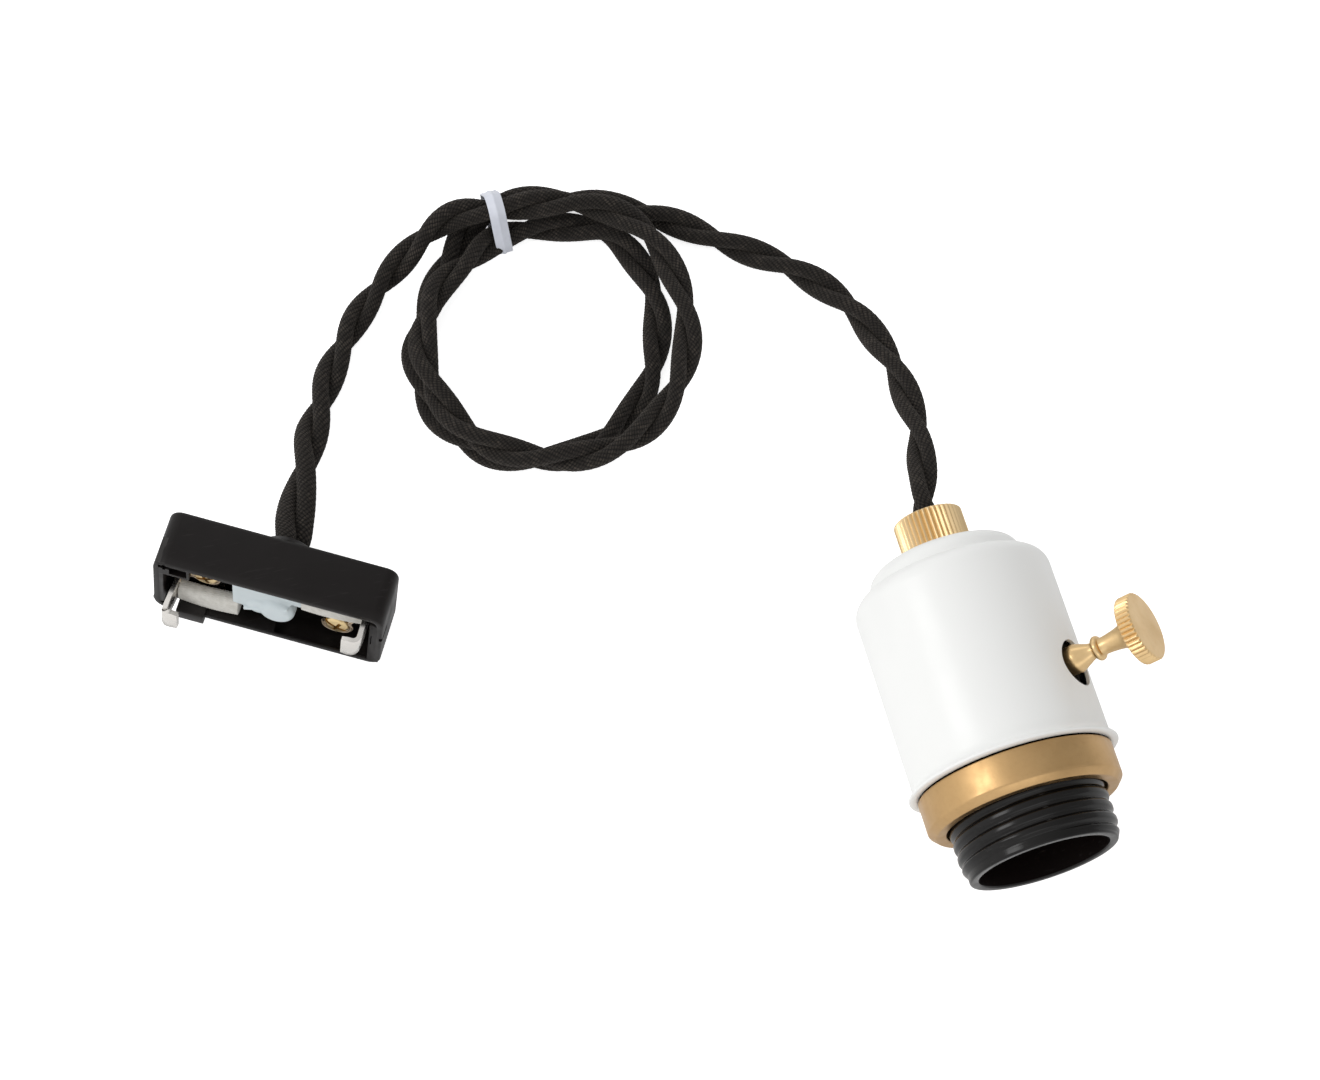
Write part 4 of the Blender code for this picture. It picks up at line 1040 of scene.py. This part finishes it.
def make_plug_screws():
    """Pan heads with a cross recess, each over a washer."""
    head = TERMINAL_Z - 0.3 - 0.7 - 0.3
    for side, name in SIDES:
        place = terminal_place(side)
        low = head - 2.2
        profile = [(0.4, 11.6), (1.2, 11.6), (1.4, 11.4), (1.4, head), (2.9, head),
                   (3.0, head - 0.1), (3.0, low + 1.1)]
        profile += [(3.0 - 0.9 * (1 - math.cos(a)), low + 1.1 - 0.9 * math.sin(a))
                    for a in np.linspace(0.2, math.pi / 2, 6)]
        profile += [(1.2, low + 0.06), (0.4, low)]
        screw = lathe("terminal_head_" + name, profile, place, 48)
        across = place @ turned(25 * side, "Z")
        cuts = [box_mesh("slot", (-4.0, -0.42, low - 1), (4.0, 0.42, low + 1.15), across, 0),
                box_mesh("slot", (-0.42, -1.9, low - 1), (0.42, 1.9, low + 1.45), across, 0)]
        carve(screw, cuts)
        dress(screw, "plug", "inner_brass", "plug_screw_" + name)
        washer = lathe("washer_" + name, [(1.8, 5.35), (3.4, 5.32), (3.5, 5.42), (3.5, 5.9),
                                          (3.4, 6.0), (1.8, 6.0)], place, 48, ring=True)
        carve(washer, [box_mesh("slot", (2.0, -0.15, 5), (4.5, 0.15, 6.5), across, 0)])
        dress(washer, "plug", "inner_brass", "plug_washer_" + name)


SLEEVE_NEAR = 7.6
SLEEVE_FAR = 22.3
SLEEVE_ROWS = 150
SLEEVE_COLS = 132
SLEEVE_WEAVE = 0.62
CLAMP_VOXEL = 0.24
WIRES = 9
WIRE_R = 0.15
WIRE_COLS = 7
WIRE_STEP = 0.7
WIRE_SIDE = Vector((0.13, 0.21, 0.97))  # any direction no wire starts along


def make_sleeves():
    """Flattened woven glass sleeves over the wires at the front of the plug."""
    for side, name in SIDES:
        rows = []
        for i in range(SLEEVE_ROWS):
            t = i / (SLEEVE_ROWS - 1)
            x = SLEEVE_NEAR + (SLEEVE_FAR - SLEEVE_NEAR) * t
            half_y = 3.35 + 0.15 * math.sin(3.0 * t + 1)
            half_z = 2.0 - 0.25 * t
            mid_y = 5.9 + 0.35 * t
            mid_z = 3.35 - 0.35 * math.sin(math.pi * t)
            pinch = 0.93 if i in (0, SLEEVE_ROWS - 1) else 1.0
            psi = round_angles(SLEEVE_COLS)
            shape_y = np.sign(np.cos(psi)) * np.abs(np.cos(psi)) ** 0.75
            shape_z = np.sign(np.sin(psi)) * np.abs(np.sin(psi)) ** 0.75
            relief = 0.06 * np.sin(psi * 26) * math.sin(math.pi * x / SLEEVE_WEAVE)
            y = mid_y + (half_y + relief) * shape_y * pinch
            z = mid_z + (half_z + relief) * shape_z * pinch
            rows.append(np.stack([np.full(SLEEVE_COLS, side * x), -side * y, z], -1))
        sleeve = skin("sleeve_" + name, np.array(rows), PLUG, sharp=60)
        dress(sleeve, "plug", "woven_sleeve", "wire_sleeve_" + name)


def make_strand_ends():
    """Bare stranded wire from each sleeve, wound round its screw under the head."""
    for side, name in SIDES:
        screw = Vector((side * SCREW_X, side * SCREW_Y, 0))
        pieces = []
        for k in range(WIRES):
            jitter = [rng.uniform(-1, 1) for _ in range(8)]
            start = Vector((side * (21.9 + 0.3 * jitter[0]), -side * (5.0 + 1.6 * jitter[1]),
                            3.6 + 0.8 * jitter[2]))
            points = [start, Vector((side * (22.6 + 0.2 * jitter[3]),
                                     -side * (2.6 + 0.9 * jitter[1]), 4.3 + 0.3 * jitter[2]))]
            radius = 3.45 + 0.4 * jitter[4]
            for step in range(9):
                angle = math.radians(-35 + side * step * 27 + 6 * jitter[5])
                points.append(screw + Vector((side * radius * math.cos(angle),
                                              side * radius * math.sin(angle),
                                              4.0 + 0.55 * jitter[6] + 0.12 * math.sin(step + k))))
            pieces.append(sweep_wire(catmull(points, WIRE_STEP), PLUG, WIRE_R, WIRE_COLS))
        bm = bmesh.new()
        for piece in pieces:
            bm.from_mesh(piece.data)
        bundle = pieces[0]
        bm.to_mesh(bundle.data)
        bm.free()
        for piece in pieces[1:]:
            bpy.data.objects.remove(piece, do_unlink=True)
        bundle.name = "bare_wire_" + name
        dress(bundle, "plug", "inner_brass", look=copper_look)


def make_eyelet():
    eyelet = lathe("eyelet", [(0.75, 3.4), (0.8, 2.95), (1.1, 2.7), (1.5, 2.8), (1.55, 3.1),
                              (1.4, 3.4), (1.4, 6.2), (0.75, 6.2)],
                   moved(PLUG, -20.6, -4.3), 40, ring=True)
    dress(eyelet, "plug", "inner_brass")


def make_clamp():
    """Moulded nylon clamp: a wedge, a round pad and a small lobe run together."""
    wedge = [(-9.2, -8.6, 1.6), (8.0, -7.2, 2.6), (7.8, -1.2, 3.0), (5.1, -2.2, 2.4),
             (-6.2, 3.1, 1.9), (-9.0, 2.9, 2.0)]
    verts = [(x, y, 6.4) for x, y, z in wedge] + wedge
    count = len(wedge)
    faces = [tuple(range(count)), tuple(range(2 * count - 1, count - 1, -1))]
    faces += [(i, (i + 1) % count, count + (i + 1) % count, count + i) for i in range(count)]
    clamp = as_object("clamp_body", verts, faces, PLUG)
    pad = lathe("pad", [(0.4, 0.7)] + arc(2.6, 2.5, 1.8, -95, 0, 8) + [(4.4, 5.6), (0.4, 5.6)],
                moved(PLUG, 1.6, 1.3), 48)
    lobe = lathe("lobe", [(0.3, 1.3)] + arc(1.8, 2.7, 1.4, -95, 0, 6) + [(3.2, 5.6), (0.3, 5.6)],
                 moved(PLUG, -2.8, 1.4), 32)
    fold = box_mesh("fold", (-6.3, -0.35, 0.9), (5.6, 0.35, 4.0),
                    moved(PLUG, -0.5, 0.4) @ turned(-25, "Z"), 0.2)
    carve(clamp, [pad, lobe, fold], "UNION")
    remesh = clamp.modifiers.new("round", "REMESH")
    remesh.mode = "VOXEL"
    remesh.voxel_size = CLAMP_VOXEL * MM
    soften = clamp.modifiers.new("soften", "SMOOTH")
    soften.factor = 0.5
    soften.iterations = 4
    evaluate(clamp)
    tidy_mesh(clamp, 60)
    dress(clamp, "plug", "milky_nylon", "cord_clamp")


# ---- stage, lights and camera ----
CAMERA_TURN = math.radians(16.08)
CAMERA_ELEVATION = math.radians(68.71)
CAMERA_DISTANCE = 750.0
CAMERA_AIM_Z = 12.0
CAMERA_LENS = 86.236
FLOOR_HALF = 2500.0
LIGHTS_AIM = (0, 0, 15)
LIGHTS = (  # name, place, width and height, watts
    ("key", (-520, 120, 560), (220, 320), 0.95),
    ("fill", (620, -160, 420), (220, 260), 0.05),
    ("front", (60, -620, 300), (420, 200), 0.22),
    ("rim", (80, 640, 360), (420, 200), 0.22),
)
SKY_BY_HEIGHT = (1.06, 0.88)  # strength at the horizon and overhead
SKY_BY_SIDE = (1.06, 0.50)  # factor on the left and on the right


def make_floor():
    mesh = bpy.data.meshes.new("floor")
    half = FLOOR_HALF * MM
    mesh.from_pydata([(-half, -half, 0), (half, -half, 0), (half, half, 0), (-half, half, 0)], [],
                     [(0, 1, 2, 3)])
    floor = link_new("floor", mesh)
    look = Look("floor_white", (0.92, 0.92, 0.92), 0.7)
    look.put({"Specular IOR Level": 0.1, "Emission Color": (1.0, 1.0, 1.0, 1.0)})
    seen = look.node("LightPath").outputs["Is Camera Ray"]
    look.link(look.ramp(seen, 0.0, 1.0, 0.06, 0.75), look.shader.inputs["Emission Strength"])
    mesh.materials.append(look.mat)


def aim(obj, location, target):
    obj.location = Vector(location) * MM
    toward = Vector(target) - Vector(location)
    obj.rotation_euler = toward.to_track_quat("-Z", "Y").to_euler()


def make_lights():
    for name, location, size, power in LIGHTS:
        data = bpy.data.lights.new(name, "AREA")
        data.shape = "RECTANGLE"
        data.size, data.size_y = size[0] * MM, size[1] * MM
        data.energy = power
        aim(link_new(name, data), location, LIGHTS_AIM)
    world = bpy.data.worlds.new("studio")
    world.use_nodes = True
    tree = world.node_tree
    back = tree.nodes["Background"]
    coords = tree.nodes.new("ShaderNodeTexCoord")
    split = tree.nodes.new("ShaderNodeSeparateXYZ")
    tree.links.new(coords.outputs["Generated"], split.inputs[0])
    across, _, height = split.outputs
    both = tree.nodes.new("ShaderNodeMath")
    both.operation = "MULTIPLY"
    tree.links.new(map_range(tree, height, 0.0, 0.95, *SKY_BY_HEIGHT), both.inputs[0])
    tree.links.new(map_range(tree, across, -0.5, 0.8, *SKY_BY_SIDE), both.inputs[1])
    tree.links.new(both.outputs[0], back.inputs["Strength"])
    back.inputs["Color"].default_value = (1.0, 1.0, 1.0, 1.0)
    bpy.context.scene.world = world
    bpy.context.scene.view_settings.view_transform = "Standard"
    bpy.context.scene.view_settings.look = "None"


def make_camera():
    data = bpy.data.cameras.new("camera")
    camera = link_new("camera", data)
    flat = math.cos(CAMERA_ELEVATION) * CAMERA_DISTANCE
    target = SHIFT + Vector((0, 0, CAMERA_AIM_Z))
    aim(camera, target + Vector((-math.sin(CAMERA_TURN) * flat, -math.cos(CAMERA_TURN) * flat,
                                 math.sin(CAMERA_ELEVATION) * CAMERA_DISTANCE)), target)
    data.sensor_width = 36.0
    data.lens = CAMERA_LENS
    data.clip_start = 0.01
    data.clip_end = 20.0
    bpy.context.scene.camera = camera


make_shell()
make_threaded_body()
make_screw_shell()
make_shade_ring()
make_gland_nut()
make_key()
make_screw_heads()
make_cord()
make_tie()
make_plug_body()
make_blades()
make_plug_screws()
make_sleeves()
make_strand_ends()
make_eyelet()
make_clamp()
make_floor()
make_lights()
make_camera()
